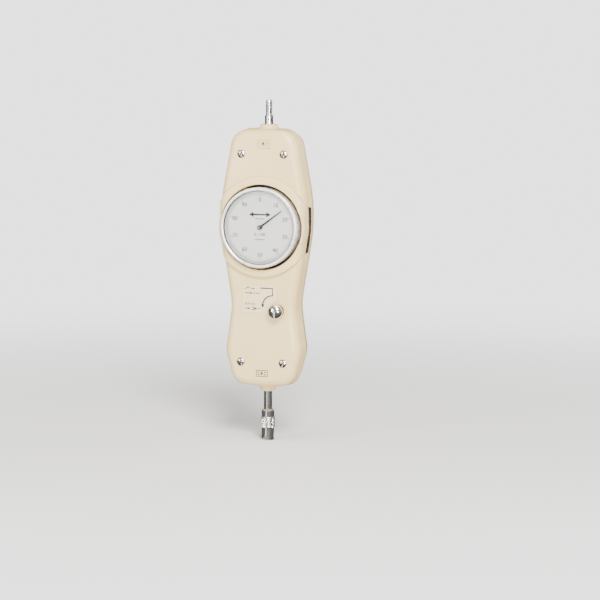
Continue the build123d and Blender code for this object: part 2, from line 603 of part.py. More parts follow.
def hairspring():
    """A flat spiral round the centre arbor, pinned at its outer end."""
    steps = HAIR_TURNS * HAIR_STEPS
    line = [(HAIR_INNER + (HAIR_OUTER - HAIR_INNER) * step / steps, 2 * pi * step / HAIR_STEPS)
            for step in range(steps + 1)]
    edge_in = [(r * cos(a), r * sin(a)) for r, a in line]
    edge_out = [((r + HAIR_STRIP) * cos(a), (r + HAIR_STRIP) * sin(a)) for r, a in reversed(line)]
    spiral = prism(make_face(Polyline(*(edge_in + edge_out), close=True)), HAIR_FRONT, HAIR_BACK)
    return spiral + drum(HAIR_PIN_R, HAIR_FRONT, REAR_PLATE_FRONT, HAIR_OUTER + HAIR_STRIP / 2)


def friction_spring():
    """Flat ring with three raised fingers that hold the dial where it is turned."""
    spring = ring(FRICTION_R, FRICTION_INNER_R, FRICTION_FRONT, FRONT_PLATE_FRONT)
    for finger in range(FINGERS):
        turn = Rot(0, 0, FINGER_TURN + 360 / FINGERS * finger)
        leaf = turn * Pos(FINGER_X, 0) * Rectangle(FINGER_W, FINGER_H)
        spring += prism(leaf, FINGER_FRONT, FRICTION_FRONT)
    return spring


def pointer_shape():
    """A tapering pointer with a ring round the arbor, turned to its rest angle."""
    right = [(POINTER_ROOT, 0), (POINTER_TIP, POINTER_LENGTH)]
    left = [(-x, y) for x, y in reversed(right)]
    blade = make_face(Polyline(*(right + left), close=True))
    sketch = Rot(0, 0, -POINTER_ANGLE) * (blade + Circle(POINTER_RING_R)) - Circle(ARBOR_R + SKIN / 2)
    return prism(sketch, POINTER_FRONT, POINTER_BACK)


def pointer_cap():
    bore, roof = ARBOR_R + SKIN / 2, POINTER_FRONT - EDGE - RUNNING
    return turned([(0, CAP_FRONT), (CAP_FACE_R, CAP_FRONT), (CAP_R, CAP_FRONT + CAP_EDGE),
                   (CAP_R, POINTER_FRONT), (bore, POINTER_FRONT), (bore, roof), (0, roof)])


# ---- dial ----

def dial_carrier():
    """Cup that holds the dial: a hub, a web and a skirt that reaches back to the thumb ring."""
    bore, web = HUB_R + RUNNING, DIAL_BACK + CARRIER_WEB
    return turned([(bore, DIAL_BACK), (SKIRT_R, DIAL_BACK), (SKIRT_R, THUMB_BACK),
                   (SKIRT_INNER_R, THUMB_BACK), (SKIRT_INNER_R, web), (CARRIER_HUB_R, web),
                   (CARRIER_HUB_R, CARRIER_HUB_BACK), (bore, CARRIER_HUB_BACK)])


def thumb_ring():
    """Ribbed ring pressed on the skirt, turned by thumb through the side windows."""
    corners = []
    for corner in range(2 * THUMB_RIBS):
        radius = THUMB_R - RIB_DEPTH * (corner % 2)
        angle = pi * corner / THUMB_RIBS
        corners.append((radius * cos(angle), radius * sin(angle)))
    sketch = make_face(Polyline(*corners, close=True)) - Circle(SKIRT_R + SKIN / 2)
    return prism(sketch, THUMB_FRONT, THUMB_BACK)


def dial_plate():
    return ring(DIAL_R, DIAL_BORE_R, DIAL_FRONT, DIAL_BACK)


def lens_seat():
    """Sloping ring between the dial and the lens."""
    return turned([(SEAT_INNER_R, DIAL_FRONT), (LENS_R, DIAL_FRONT), (LENS_R, LENS_BACK),
                   (SEAT_FRONT_R, LENS_BACK), (SEAT_FRONT_R - SEAT_LIP, LENS_BACK + SEAT_LIP)])


def lens():
    return drum(LENS_R, LENS_FRONT, LENS_BACK)


def bezel_ring():
    """Thin rolled ring over the lens, pressed on the carrier."""
    bore, seat, edge = SKIRT_R + SKIN / 2, LENS_R + SKIN / 2, BEZEL_ROLL / 3
    return turned([(bore, BEZEL_BACK), (BEZEL_R - edge, BEZEL_BACK), (BEZEL_R, BEZEL_BACK - edge),
                   (BEZEL_R, BEZEL_FRONT + BEZEL_ROLL), (BEZEL_R - edge, BEZEL_FRONT + edge),
                   (BEZEL_R - BEZEL_ROLL, BEZEL_FRONT), (BEZEL_INNER_R + BEZEL_ROLL, BEZEL_FRONT),
                   (BEZEL_INNER_R, LENS_FRONT - RUNNING), (seat, LENS_FRONT), (seat, DIAL_BACK),
                   (bore, DIAL_BACK)])


# ---- mode button and brake ----

def button_bushing():
    bore = STEM_R + RUNNING
    return turned([(bore, 0), (BUTTON_FLANGE_R, 0), (BUTTON_FLANGE_R, BUTTON_FLANGE_H),
                   (BUTTON_BORE_R, BUTTON_FLANGE_H), (BUTTON_BORE_R, BUTTON_BOSS_BACK),
                   (bore, BUTTON_BOSS_BACK)], BUTTON_X, BUTTON_Z)


def button_cap():
    """Domed cap with a hollow skirt over its spring."""
    rise = BUTTON_FRONT - BUTTON_BEND
    angles = [pi / 2 * step / DOME_STEPS for step in reversed(range(DOME_STEPS))]
    dome = [(BUTTON_R * cos(a), BUTTON_BEND + rise * sin(a)) for a in angles]
    rim = [(BUTTON_R, BUTTON_RIM - EDGE), (BUTTON_R - EDGE, BUTTON_RIM), (BUTTON_HOLLOW_R, BUTTON_RIM)]
    bore = STEM_R + SKIN / 2
    hollow = [(BUTTON_HOLLOW_R, BUTTON_ROOF), (bore, BUTTON_ROOF), (bore, BUTTON_SOCKET), (0, BUTTON_SOCKET)]
    return turned([(0, BUTTON_FRONT)] + dome + rim + hollow, BUTTON_X, BUTTON_Z)


def button_stem():
    """Stem with a neck for its collar and a tapered end that meets the lever."""
    return turned([(0, BUTTON_SOCKET), (STEM_R, BUTTON_SOCKET), (STEM_R, NECK_FRONT),
                   (GROOVE_NECK_R, NECK_FRONT), (GROOVE_NECK_R, NECK_BACK), (STEM_R, NECK_BACK),
                   (STEM_R, STEM_BACK - STEM_TIP), (STEM_TIP_R, STEM_BACK), (0, STEM_BACK)],
                  BUTTON_X, BUTTON_Z)


def button_collar():
    """Washer in the stem's neck: it slides with the stem, which turns in it."""
    front, back = NECK_FRONT + RUNNING, NECK_BACK - RUNNING
    return ring(WASHER_R, GROOVE_NECK_R + RUNNING, front, back, BUTTON_X, BUTTON_Z)


def button_spring():
    """Between the cap and the bushing, round the stem."""
    count = RETURN_COILS * RETURN_STEPS
    points = []
    for step in range(count + 1):
        angle = 2 * pi * step / RETURN_STEPS
        depth = RETURN_FRONT + (RETURN_BACK - RETURN_FRONT) * step / count
        points.append((BUTTON_X + RETURN_R * cos(angle), y_at(depth), BUTTON_Z + RETURN_R * sin(angle)))
    return wound(RETURN_WIRE_R, WIRE_SIDES, points)


def brake_lever():
    """Long lever hung on a pin at its top; the stem pushes its lower end back."""
    foot_low, foot_high = BUTTON_Z - LEVER_FOOT, BUTTON_Z + LEVER_FOOT
    lever = block(LEVER_X - LEVER_HALF, LEVER_X + LEVER_HALF, LEVER_FRONT, LEVER_BACK, foot_low, LEVER_Z)
    lever += block(LEVER_X - LEVER_HALF, BUTTON_X + LEVER_TOE, LEVER_FRONT, LEVER_BACK, foot_low, foot_high)
    lever += cross_rod(LEVER_HUB_R, LEVER_HUB_LENGTH, LEVER_X, LEVER_DEPTH, LEVER_Z)
    lever += block(ARM_X_LOW, LEVER_X, LEVER_FRONT, LEVER_BACK, ARM_Z_LOW, ARM_Z_HIGH)
    lever += block(ARM_X_LOW, ARM_X_HIGH, ARM_TIP_FRONT, LEVER_FRONT, ARM_TIP_LOW, ARM_Z_HIGH)
    return lever - cross_rod(PIN_R + RUNNING, PIN_LENGTH, LEVER_X, LEVER_DEPTH, LEVER_Z)


def brake_shoe():
    """Felt pad behind the brake disc."""
    return block(ARM_X_LOW, ARM_X_HIGH, SHOE_FRONT, ARM_TIP_FRONT, SHOE_LOW, ARM_Z_HIGH)


def lever_pin():
    return cross_rod(PIN_R, PIN_LENGTH, LEVER_X, LEVER_DEPTH, LEVER_Z)


def brake_disc():
    return ring(DISC_R, COLLET_R + SKIN, DISC_FRONT, DISC_BACK)


NODES = {
    "front_shell": front_shell, "rear_shell": rear_shell, "cover_screws": cover_screws,
    "legend_plate": legend_plate, "upper_bushing": lambda: bushing(BOSS_TOP, -1),
    "lower_bushing": lambda: bushing(BOSS_BOTTOM, 1), "stop_bracket": stop_bracket,
    "stop_screws": stop_screws, "rear_plate": rear_plate, "front_plate": front_plate,
    "plate_pillars": plate_pillars, "plate_screws": plate_screws, "hub_bushing": hub_bushing,
    "hairspring": hairspring, "friction_spring": friction_spring, "button_bushing": button_bushing,
    "lever_pin": lever_pin, "main_shaft": main_shaft, "notch_head": notch_head,
    "spring_collar": spring_collar, "main_spring": main_spring, "rack_bracket": rack_bracket,
    "rack": rack, "clamp_screw": clamp_screw, "train_arbor": train_arbor, "train_wheel": train_wheel,
    "rack_pinion": rack_pinion, "centre_arbor": centre_arbor, "centre_pinion": centre_pinion,
    "brake_disc": brake_disc, "pointer": pointer_shape, "pointer_cap": pointer_cap,
    "dial_carrier": dial_carrier, "thumb_ring": thumb_ring, "dial_plate": dial_plate,
    "lens_seat": lens_seat, "lens": lens, "bezel_ring": bezel_ring, "button_cap": button_cap,
    "button_stem": button_stem, "button_spring": button_spring, "button_collar": button_collar,
    "brake_lever": brake_lever, "brake_shoe": brake_shoe,
}

os.makedirs("parts", exist_ok=True)
for name, make in NODES.items():
    export_step(make(), f"parts/{name}.step")
    print("wrote", name)
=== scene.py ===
from math import cos, pi, radians, sin, tan

import bmesh
import bpy
from mathutils import Matrix, Vector


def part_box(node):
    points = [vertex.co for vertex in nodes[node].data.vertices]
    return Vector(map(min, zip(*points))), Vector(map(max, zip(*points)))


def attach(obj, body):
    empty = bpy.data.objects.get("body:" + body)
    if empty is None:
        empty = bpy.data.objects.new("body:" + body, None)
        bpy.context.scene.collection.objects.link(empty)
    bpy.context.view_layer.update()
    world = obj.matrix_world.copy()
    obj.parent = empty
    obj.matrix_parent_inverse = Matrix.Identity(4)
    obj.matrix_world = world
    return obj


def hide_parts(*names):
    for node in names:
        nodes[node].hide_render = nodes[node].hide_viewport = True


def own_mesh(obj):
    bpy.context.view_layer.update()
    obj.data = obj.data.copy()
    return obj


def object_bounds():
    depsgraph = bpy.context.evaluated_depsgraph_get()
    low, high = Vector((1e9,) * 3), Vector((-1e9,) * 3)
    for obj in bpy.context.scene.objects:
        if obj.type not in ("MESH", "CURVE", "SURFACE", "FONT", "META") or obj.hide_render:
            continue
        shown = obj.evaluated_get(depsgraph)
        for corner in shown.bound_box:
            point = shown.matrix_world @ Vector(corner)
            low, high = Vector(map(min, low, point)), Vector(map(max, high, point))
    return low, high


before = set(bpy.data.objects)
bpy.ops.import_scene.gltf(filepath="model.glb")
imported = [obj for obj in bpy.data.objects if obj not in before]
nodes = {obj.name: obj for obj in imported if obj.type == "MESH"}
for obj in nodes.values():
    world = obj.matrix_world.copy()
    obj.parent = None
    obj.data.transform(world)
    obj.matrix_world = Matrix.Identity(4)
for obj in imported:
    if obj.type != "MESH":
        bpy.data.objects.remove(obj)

cadLow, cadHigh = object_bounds()
mm = 0.001
seamGap = 1e-7                                          # doubles this close are one vertex
triangleTall, triangleHalf = 1.5, sin(radians(60))      # height and half width of a triangle of radius 1

# places read from the frame
plateLow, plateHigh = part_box("dial_plate")
dialX, dialZ = (plateLow.x + plateHigh.x) / 2, (plateLow.z + plateHigh.z) / 2
dialFront = plateLow.y
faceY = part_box("legend_plate")[1].y           # the casing's flat front
shaftLow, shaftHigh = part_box("main_shaft")
shaftY = (shaftLow.y + shaftHigh.y) / 2
print("frame loaded:", len(nodes), "nodes")


# small tools shared by the pieces

# y of a depth in mm behind the casing's flat front
def atDepth(depth):
    return faceY + depth * mm


def addPiece(name, mesh, body, material, smooth=30, replaces=()):
    piece = bpy.data.objects.new(name, mesh)
    bpy.context.scene.collection.objects.link(piece)
    mesh.materials.clear()
    mesh.materials.append(material)
    if smooth:
        mesh.shade_smooth()
        mesh.set_sharp_from_angle(angle=radians(smooth))
    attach(piece, body)
    if replaces:
        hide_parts(*replaces)
    return piece


def toMesh(bm, name, recalc=True):
    if recalc:
        bmesh.ops.recalc_face_normals(bm, faces=bm.faces)
    mesh = bpy.data.meshes.new(name)
    bm.to_mesh(mesh)
    bm.free()
    return mesh


# bevels every edge that turns more than the angle
def softenEdges(bm, offset, segments=2, angle=35):
    hard = [e for e in bm.edges if e.is_manifold and e.calc_face_angle(0) > radians(angle)]
    if hard and offset:
        bmesh.ops.bevel(bm, geom=hard, offset=offset, segments=segments, profile=0.5, affect="EDGES",
                        material=-1, clamp_overlap=True)


# carries work made about Z to an axis through the centre
def ontoAxis(centre, axis):
    turn = {"z": Matrix.Identity(4), "y": Matrix.Rotation(radians(-90), 4, "X")}[axis]
    return Matrix.Translation(centre) @ turn


# spins a profile of (radius, along) points in mm about an axis through the centre
def lathe(profile, centre, axis, steps=96, soften=0.0, segments=2):
    bm = bmesh.new()
    verts = [bm.verts.new((radius * mm, 0, along * mm)) for radius, along in profile]
    closed = profile[0][0] > 0 or profile[-1][0] > 0
    edges = [bm.edges.new(pair) for pair in zip(verts, verts[1:])]
    if closed:
        edges.append(bm.edges.new((verts[-1], verts[0])))
    bmesh.ops.spin(bm, geom=verts + edges, cent=(0, 0, 0), axis=(0, 0, 1), angle=2 * pi,
                   steps=steps, use_merge=True)
    bmesh.ops.remove_doubles(bm, verts=bm.verts, dist=seamGap)
    halfStep = Matrix.Rotation(pi / steps, 3, "Z")          # so that no vertex lies on the parting plane
    bmesh.ops.rotate(bm, cent=(0, 0, 0), matrix=halfStep, verts=bm.verts)
    bmesh.ops.recalc_face_normals(bm, faces=bm.faces)
    softenEdges(bm, soften * mm, segments)
    bmesh.ops.transform(bm, matrix=ontoAxis(centre, axis), verts=bm.verts)
    return bm


# profile of (radius, depth) turned about an axis along Y, by default the dial's
def dialLathe(profile, x=None, z=None, **options):
    centre = (dialX if x is None else x, faceY, dialZ if z is None else z)
    return lathe(profile, centre, "y", **options)


# profile of (radius, height in mm) turned about the measuring shaft
def shaftLathe(profile, **options):
    return lathe(profile, (0, shaftY, 0), "z", **options)


# a box between two corners in metres
def boxBm(low, high):
    bm = bmesh.new()
    size = Vector(high) - Vector(low)
    place = Matrix.Translation((Vector(low) + Vector(high)) / 2) @ Matrix.Diagonal((*size, 1))
    bmesh.ops.create_cube(bm, size=1, matrix=place)
    return bm


# extrudes the faces along a way in mm, keeping the first ones as the back
def thicken(bm, way):
    lifted = bmesh.ops.extrude_face_region(bm, geom=bm.faces[:], use_keep_orig=True)["geom"]
    moved = [v for v in lifted if isinstance(v, bmesh.types.BMVert)]
    bmesh.ops.translate(bm, vec=Vector(way) * mm, verts=moved)


# one bmesh of several separate forms
def joinBms(*parts):
    whole = bmesh.new()
    for part in parts:
        carrier = toMesh(part, "carrier")
        whole.from_mesh(carrier)
        bpy.data.meshes.remove(carrier)
    return whole


# boolean of two bmeshes, both used up; its result isn't merged, so that it stays closed for the next one
def carve(bm, tool, operation):
    target = bpy.data.objects.new("target", toMesh(bm, "target"))
    cutter = bpy.data.objects.new("cutter", toMesh(tool, "cutter"))
    for thing in (target, cutter):
        bpy.context.scene.collection.objects.link(thing)
    step = target.modifiers.new("cut", "BOOLEAN")
    step.operation = operation
    step.solver = "EXACT"
    step.object = cutter
    step.use_self = operation == "UNION"
    bpy.context.view_layer.update()
    result = bpy.data.meshes.new_from_object(target.evaluated_get(bpy.context.evaluated_depsgraph_get()))
    done = bmesh.new()
    done.from_mesh(result)
    for thing in (target, cutter):
        bpy.data.objects.remove(thing)
    bpy.data.meshes.remove(result)
    return done


# materials

def newMaterial(name, colour, roughness=0.4, metallic=0.0):
    material = bpy.data.materials.new(name)
    material.use_nodes = True
    shader = material.node_tree.nodes["Principled BSDF"]
    shader.inputs["Base Color"].default_value = (*colour, 1)
    shader.inputs["Roughness"].default_value = roughness
    shader.inputs["Metallic"].default_value = metallic
    return material, material.node_tree, shader


# noise on Object coordinates; returns its factor socket
def objectNoise(tree, scale, detail=4.0, stretch=(1, 1, 1)):
    place = tree.nodes.new("ShaderNodeTexCoord")
    mapping = tree.nodes.new("ShaderNodeMapping")
    mapping.inputs["Scale"].default_value = stretch
    noise = tree.nodes.new("ShaderNodeTexNoise")
    noise.inputs["Scale"].default_value = scale
    noise.inputs["Detail"].default_value = detail
    tree.links.new(place.outputs["Object"], mapping.inputs["Vector"])
    tree.links.new(mapping.outputs["Vector"], noise.inputs["Vector"])
    return noise.outputs["Fac"]


# maps a 0..1 factor to a range
def ranged(tree, socket, low, high):
    step = tree.nodes.new("ShaderNodeMapRange")
    step.inputs["From Min"].default_value = 0.3         # noise seldom leaves 0.3 to 0.7
    step.inputs["From Max"].default_value = 0.7
    step.inputs["To Min"].default_value = low
    step.inputs["To Max"].default_value = high
    tree.links.new(socket, step.inputs["Value"])
    return step.outputs["Result"]


def blendColours(tree, socket, first, second):
    ramp = tree.nodes.new("ShaderNodeValToRGB")
    ramp.color_ramp.elements[0].position = 0.35
    ramp.color_ramp.elements[0].color = (*first, 1)
    ramp.color_ramp.elements[1].position = 0.65
    ramp.color_ramp.elements[1].color = (*second, 1)
    tree.links.new(socket, ramp.inputs["Fac"])
    return ramp.outputs["Color"]


# mottles the base colour between two tones
def mottle(tree, shader, scale, detail, first, second):
    tones = blendColours(tree, objectNoise(tree, scale, detail), first, second)
    tree.links.new(tones, shader.inputs["Base Color"])


# varies the roughness between two values
def varyRoughness(tree, shader, scale, detail, low, high, stretch=(1, 1, 1)):
    grain = objectNoise(tree, scale, detail, stretch)
    tree.links.new(ranged(tree, grain, low, high), shader.inputs["Roughness"])


def addBump(tree, shader, scale, detail, strength, distance, stretch=(1, 1, 1)):
    bump = tree.nodes.new("ShaderNodeBump")
    bump.inputs["Strength"].default_value = strength
    bump.inputs["Distance"].default_value = distance
    tree.links.new(objectNoise(tree, scale, detail, stretch), bump.inputs["Height"])
    tree.links.new(bump.outputs["Normal"], shader.inputs["Normal"])


def ivoryEnamel():
    material, tree, shader = newMaterial("ivoryEnamel", (0.73, 0.55, 0.26), 0.36)
    mottle(tree, shader, 28, 5, (0.72, 0.53, 0.24), (0.745, 0.57, 0.285))
    varyRoughness(tree, shader, 160, 3, 0.32, 0.42)
    shader.inputs["Coat Weight"].default_value = 0.2
    shader.inputs["Coat Roughness"].default_value = 0.22
    addBump(tree, shader, 900, 2, 0.12, 0.00025)     # orange peel
    return material


def polishedChrome():
    material, tree, shader = newMaterial("polishedChrome", (0.83, 0.82, 0.79), 0.09, 1.0)
    varyRoughness(tree, shader, 220, 6, 0.05, 0.16)
    addBump(tree, shader, 1500, 2, 0.04, 0.0001)
    return material


def satinNickel():
    material, tree, shader = newMaterial("satinNickel", (0.93, 0.92, 0.89), 0.3, 0.55)
    varyRoughness(tree, shader, 260, 5, 0.24, 0.36)
    addBump(tree, shader, 1800, 2, 0.06, 0.0001)
    return material


# painted shade: near-black for the shaded walls inside the casing's recess and windows
def darkPrimer():
    material, tree, shader = newMaterial("darkPrimer", (0.022, 0.017, 0.012), 0.6)
    mottle(tree, shader, 140, 4, (0.016, 0.012, 0.008), (0.03, 0.023, 0.016))
    return material


def turnedSteel():
    material, tree, shader = newMaterial("turnedSteel", (0.60, 0.59, 0.57), 0.28, 1.0)
    varyRoughness(tree, shader, 300, 6, 0.18, 0.38, (1, 1, 14))
    addBump(tree, shader, 700, 2, 0.08, 0.0001, (1, 1, 20))
    return material


def machinedBrass():
    material, tree, shader = newMaterial("machinedBrass", (0.66, 0.47, 0.20), 0.3, 1.0)
    mottle(tree, shader, 120, 5, (0.60, 0.41, 0.16), (0.72, 0.53, 0.25))
    varyRoughness(tree, shader, 400, 4, 0.22, 0.4, (1, 14, 1))
    return material


def brownPlastic():
    material, tree, shader = newMaterial("brownPlastic", (0.035, 0.02, 0.012), 0.5)
    mottle(tree, shader, 90, 4, (0.028, 0.016, 0.010), (0.05, 0.028, 0.016))
    addBump(tree, shader, 1200, 3, 0.2, 0.0002)
    return material


def dialWhite():
    material, tree, shader = newMaterial("dialWhite", (0.93, 0.93, 0.90), 0.5)
    mottle(tree, shader, 60, 4, (0.915, 0.915, 0.88), (0.945, 0.945, 0.92))
    addBump(tree, shader, 2500, 2, 0.05, 0.0001)
    return material


def greyPaint():
    material, tree, shader = newMaterial("greyPaint", (0.62, 0.62, 0.57), 0.4)
    mottle(tree, shader, 150, 4, (0.58, 0.58, 0.53), (0.66, 0.66, 0.60))
    return material


# black print, also used as painted shade inside the screw slots
def blackInk():
    material, tree, shader = newMaterial("blackInk", (0.012, 0.011, 0.010), 0.45)
    varyRoughness(tree, shader, 800, 3, 0.38, 0.55)
    return material


def greyInk():
    material, tree, shader = newMaterial("greyInk", (0.05, 0.047, 0.04), 0.5)
    varyRoughness(tree, shader, 800, 3, 0.42, 0.6)
    return material


def legendPaint():
    material, tree, shader = newMaterial("legendPaint", (0.72, 0.57, 0.33), 0.42)
    mottle(tree, shader, 1400, 3, (0.68, 0.54, 0.31), (0.74, 0.60, 0.37))
    addBump(tree, shader, 1800, 2, 0.1, 0.0002)
    return material


def clearCrystal():
    material, tree, shader = newMaterial("clearCrystal", (1, 1, 1), 0.03)
    shader.inputs["Transmission Weight"].default_value = 1.0
    shader.inputs["IOR"].default_value = 1.12
    varyRoughness(tree, shader, 90, 5, 0.0, 0.03)
    return material


enamel, chrome, steel, brass = ivoryEnamel(), polishedChrome(), turnedSteel(), machinedBrass()
nickel, recessShade = satinNickel(), darkPrimer()
brown, white, grey, black = brownPlastic(), dialWhite(), greyPaint(), blackInk()
inkGrey, legendTone, crystal = greyInk(), legendPaint(), clearCrystal()
print("materials made")


# camera, lights and floor

view = {"azimuth": 18.5, "elevation": 6.6, "distance": 1.75, "mmPerPixel": 0.7135, "roll": 0.3,
        "dialPixel": (259.5, 227.8), "imageSize": 600, "sensor": 36, "clip": (0.05, 200)}


def makeCamera():
    turn, tilt = radians(view["azimuth"]), radians(view["elevation"])
    back = Vector((sin(turn) * cos(tilt), -cos(turn) * cos(tilt), sin(tilt)))
    side = Vector((cos(turn), sin(turn), 0))
    up = back.cross(side)
    dial = Vector((dialX, dialFront, dialZ))
    middle = view["imageSize"] / 2
    pixel = view["mmPerPixel"] * mm
    across, down = view["dialPixel"]
    aim = dial + side * (middle - across) * pixel + up * (down - middle) * pixel
    camera = bpy.data.objects.new("camera", bpy.data.cameras.new("camera"))
    bpy.context.scene.collection.objects.link(camera)
    camera.data.sensor_width = view["sensor"]
    camera.data.lens = view["distance"] / pixel / view["imageSize"] * camera.data.sensor_width
    camera.location = aim + back * view["distance"]
    camera.rotation_mode = "QUATERNION"
    look = (-back).to_track_quat("-Z", "Y")
    camera.rotation_quaternion = look @ Matrix.Rotation(radians(view["roll"]), 3, "Z").to_quaternion()
    camera.data.clip_start, camera.data.clip_end = view["clip"]
    bpy.context.scene.camera = camera


lights = {
    "key": {"place": (0.9, -1.7, 1.3), "size": (0.7, 0.9), "power": 122, "colour": (1.0, 0.98, 0.95)},
    "fill": {"place": (-1.2, -1.8, 0.5), "size": (0.8, 1.0), "power": 24, "colour": (1.0, 0.98, 0.96)},
    "side": {"place": (1.1, -1.9, 0.05), "size": (0.4, 0.3), "power": 30, "colour": (1.0, 0.97, 0.93)},
    "top": {"place": (0.1, -0.4, 1.7), "size": (1.2, 0.8), "power": 18, "colour": (1.0, 0.98, 0.95)},
}


def makeLights():
    for name, light in lights.items():
        lamp = bpy.data.lights.new(name, "AREA")
        lamp.shape = "RECTANGLE"
        lamp.size, lamp.size_y = light["size"]
        lamp.energy = light["power"]
        lamp.color = light["colour"]
        thing = bpy.data.objects.new(name, lamp)
        thing.location = light["place"]
        thing.rotation_euler = (-Vector(light["place"])).to_track_quat("-Z", "Y").to_euler()
        bpy.context.scene.collection.objects.link(thing)


# lengths in metres; the floor and the cards lie just under the object
studio = {"room": (0.86, 0.84, 0.81), "roomStrength": 0.6,
          "backdrop": (0.80, 0.80, 0.80), "backdropStrength": 3.4,
          "floor": (0.86, 0.86, 0.86), "floorRough": 0.75, "floorSize": 60, "floorDrop": 0.0005,
          "fadeStart": 0.15, "fadeEnd": 0.9,
          "card": (0.02, 0.02, 0.02), "cardRough": 0.9, "cardDrop": 0.0002, "cardHalf": 0.002}


def makeWorld():
    world = bpy.data.worlds.new("studio")
    bpy.context.scene.world = world
    world.use_nodes = True
    tree = world.node_tree
    room = tree.nodes["Background"]
    room.inputs["Color"].default_value = (*studio["room"], 1)
    room.inputs["Strength"].default_value = studio["roomStrength"]
    backdrop = tree.nodes.new("ShaderNodeBackground")
    backdrop.inputs["Color"].default_value = (*studio["backdrop"], 1)
    backdrop.inputs["Strength"].default_value = studio["backdropStrength"]
    path = tree.nodes.new("ShaderNodeLightPath")
    mix = tree.nodes.new("ShaderNodeMixShader")
    tree.links.new(path.outputs["Is Camera Ray"], mix.inputs["Fac"])
    tree.links.new(room.outputs["Background"], mix.inputs[1])
    tree.links.new(backdrop.outputs["Background"], mix.inputs[2])
    tree.links.new(mix.outputs["Shader"], tree.nodes["World Output"].inputs["Surface"])


# dark cards on the floor and at the left, seen only in the bright metal
# a gap is in degrees, counted anticlockwise from -Y
cards = {"nearCard": {"radius": (0.012, 0.6), "gap": (-16, -4)},
         "farCard": {"radius": (0.6, 9.0), "gap": (-30, -6)},
         "leftCard": {"x": -0.75, "y": (-0.9, 0.5), "z": (-0.12, 0.35)}}


def addStage(name, mesh, colour, roughness):
    piece = bpy.data.objects.new(name, mesh)
    bpy.context.scene.collection.objects.link(piece)
    material, tree, shader = newMaterial(name, colour, roughness)
    varyRoughness(tree, shader, 3, 3, roughness, roughness + 0.05)
    piece.data.materials.append(material)
    return piece


# the floor takes on the backdrop's tone away from the object, so that no horizon shows
def fadeFloor(floor):
    tree = floor.data.materials[0].node_tree
    shader = tree.nodes["Principled BSDF"]
    place = tree.nodes.new("ShaderNodeTexCoord")
    reach = tree.nodes.new("ShaderNodeVectorMath")
    reach.operation = "LENGTH"
    fade = tree.nodes.new("ShaderNodeMapRange")
    fade.interpolation_type = "SMOOTHSTEP"
    fade.inputs["From Min"].default_value = studio["fadeStart"]
    fade.inputs["From Max"].default_value = studio["fadeEnd"]
    glow = tree.nodes.new("ShaderNodeEmission")
    glow.inputs["Color"].default_value = (*studio["backdrop"], 1)
    glow.inputs["Strength"].default_value = studio["backdropStrength"]
    mix = tree.nodes.new("ShaderNodeMixShader")
    tree.links.new(place.outputs["Object"], reach.inputs[0])
    tree.links.new(reach.outputs["Value"], fade.inputs["Value"])
    tree.links.new(fade.outputs["Result"], mix.inputs["Fac"])
    tree.links.new(shader.outputs["BSDF"], mix.inputs[1])
    tree.links.new(glow.outputs["Emission"], mix.inputs[2])
    tree.links.new(mix.outputs["Shader"], tree.nodes["Material Output"].inputs["Surface"])


# a ring on the floor, open over the gap
def ringCardBm(card, height):
    inner, outer = card["radius"]
    start, end = card["gap"]
    bm = bmesh.new()
    turn = Matrix.Rotation(radians(end), 3, "Z")
    ends = [bm.verts.new(turn @ Vector((0, -radius, height))) for radius in (inner, outer)]
    rib = bm.edges.new(ends)
    bmesh.ops.spin(bm, geom=ends + [rib], cent=(0, 0, 0), axis=(0, 0, 1),
                   angle=radians(360 - (end - start)), steps=96)
    return bm


def makeStage():
    bm = bmesh.new()
    bmesh.ops.create_grid(bm, x_segments=1, y_segments=1, size=studio["floorSize"])
    bmesh.ops.translate(bm, vec=(0, 0, cadLow.z - studio["floorDrop"]), verts=bm.verts)
    mesh = toMesh(bm, "floor", recalc=False)
    fadeFloor(addStage("floor", mesh, studio["floor"], studio["floorRough"]))
    for name, card in cards.items():
        if "gap" in card:
            bm = ringCardBm(card, cadLow.z - studio["cardDrop"])
        else:
            half = studio["cardHalf"]
            (front, back), (foot, head) = card["y"], card["z"]
            bm = boxBm((card["x"] - half, front, foot), (card["x"] + half, back, head))
        piece = addStage(name, toMesh(bm, name), studio["card"], studio["cardRough"])
        piece.visible_camera = piece.visible_diffuse = False
        piece.visible_shadow = piece.visible_transmission = False


makeCamera()
makeLights()
makeWorld()
makeStage()
print("camera, lights and floor made")


# casing

# lengths in mm, and depths counted from its flat front
casing = {
    # corners of the right side at the parting plane in mm, crown to heel: x, z, radius, steps of the arc
    "corners": [(0.0, 92.7, 200.0, 6), (23.9, 91.5, 13.6, 16), (35.3, 29.8, 133.0, 20),
                (24.65, -34.7, 45.0, 10), (29.4, -67.8, 25.0, 10), (22.7, -92.9, 12.2, 16),
                (0.0, -94.6, 110.0, 6)],
    "partDepth": 15.0, "depth": 33.0, "wall": 2.5, "frontDraft": 1.0, "rearDraft": 4.5,
    "frontRound": 5.6, "rearRound": 6.0, "plateauDraft": 1.15, "plateauRadius": 36.2,
    # the hollow starts this far past the parting plane, and is drawn in by this much less than the wall
    "hollowPast": 0.2, "hollowEase": 0.1,
    "screws": [(-16, 74), (16, 74), (-16, -76), (16, -76)], "postRadius": 3.6,
}

# the two necks round the shaft: profiles of (radius, distance above the end)
necks = {"top": 95.0, "upper": [(0, -6), (9.0, -6), (5.8, 0), (0, 0)], "upperSoft": 0.5,
         "bottom": -98.0, "lower": [(0, 0), (4.9, 0), (6.7, 3.2), (7.6, 9), (0, 9)], "lowerSoft": 0.4,
         "bore": 4.52, "boreHeights": ((80, 97), (-100, -84))}


# points of the arc that rounds a corner, in the order that the outline runs
def cornerArc(before, corner, after, radius, steps):
    back, on = (before - corner).normalized(), (after - corner).normalized()
    half = back.angle(on) / 2
    centre = corner + (back + on).normalized() * radius / sin(half)
    start = (corner + back * radius / tan(half) - centre).normalized()
    end = (corner + on * radius / tan(half) - centre).normalized()
    return [centre + start.slerp(end, step / steps) * radius for step in range(steps + 1)]


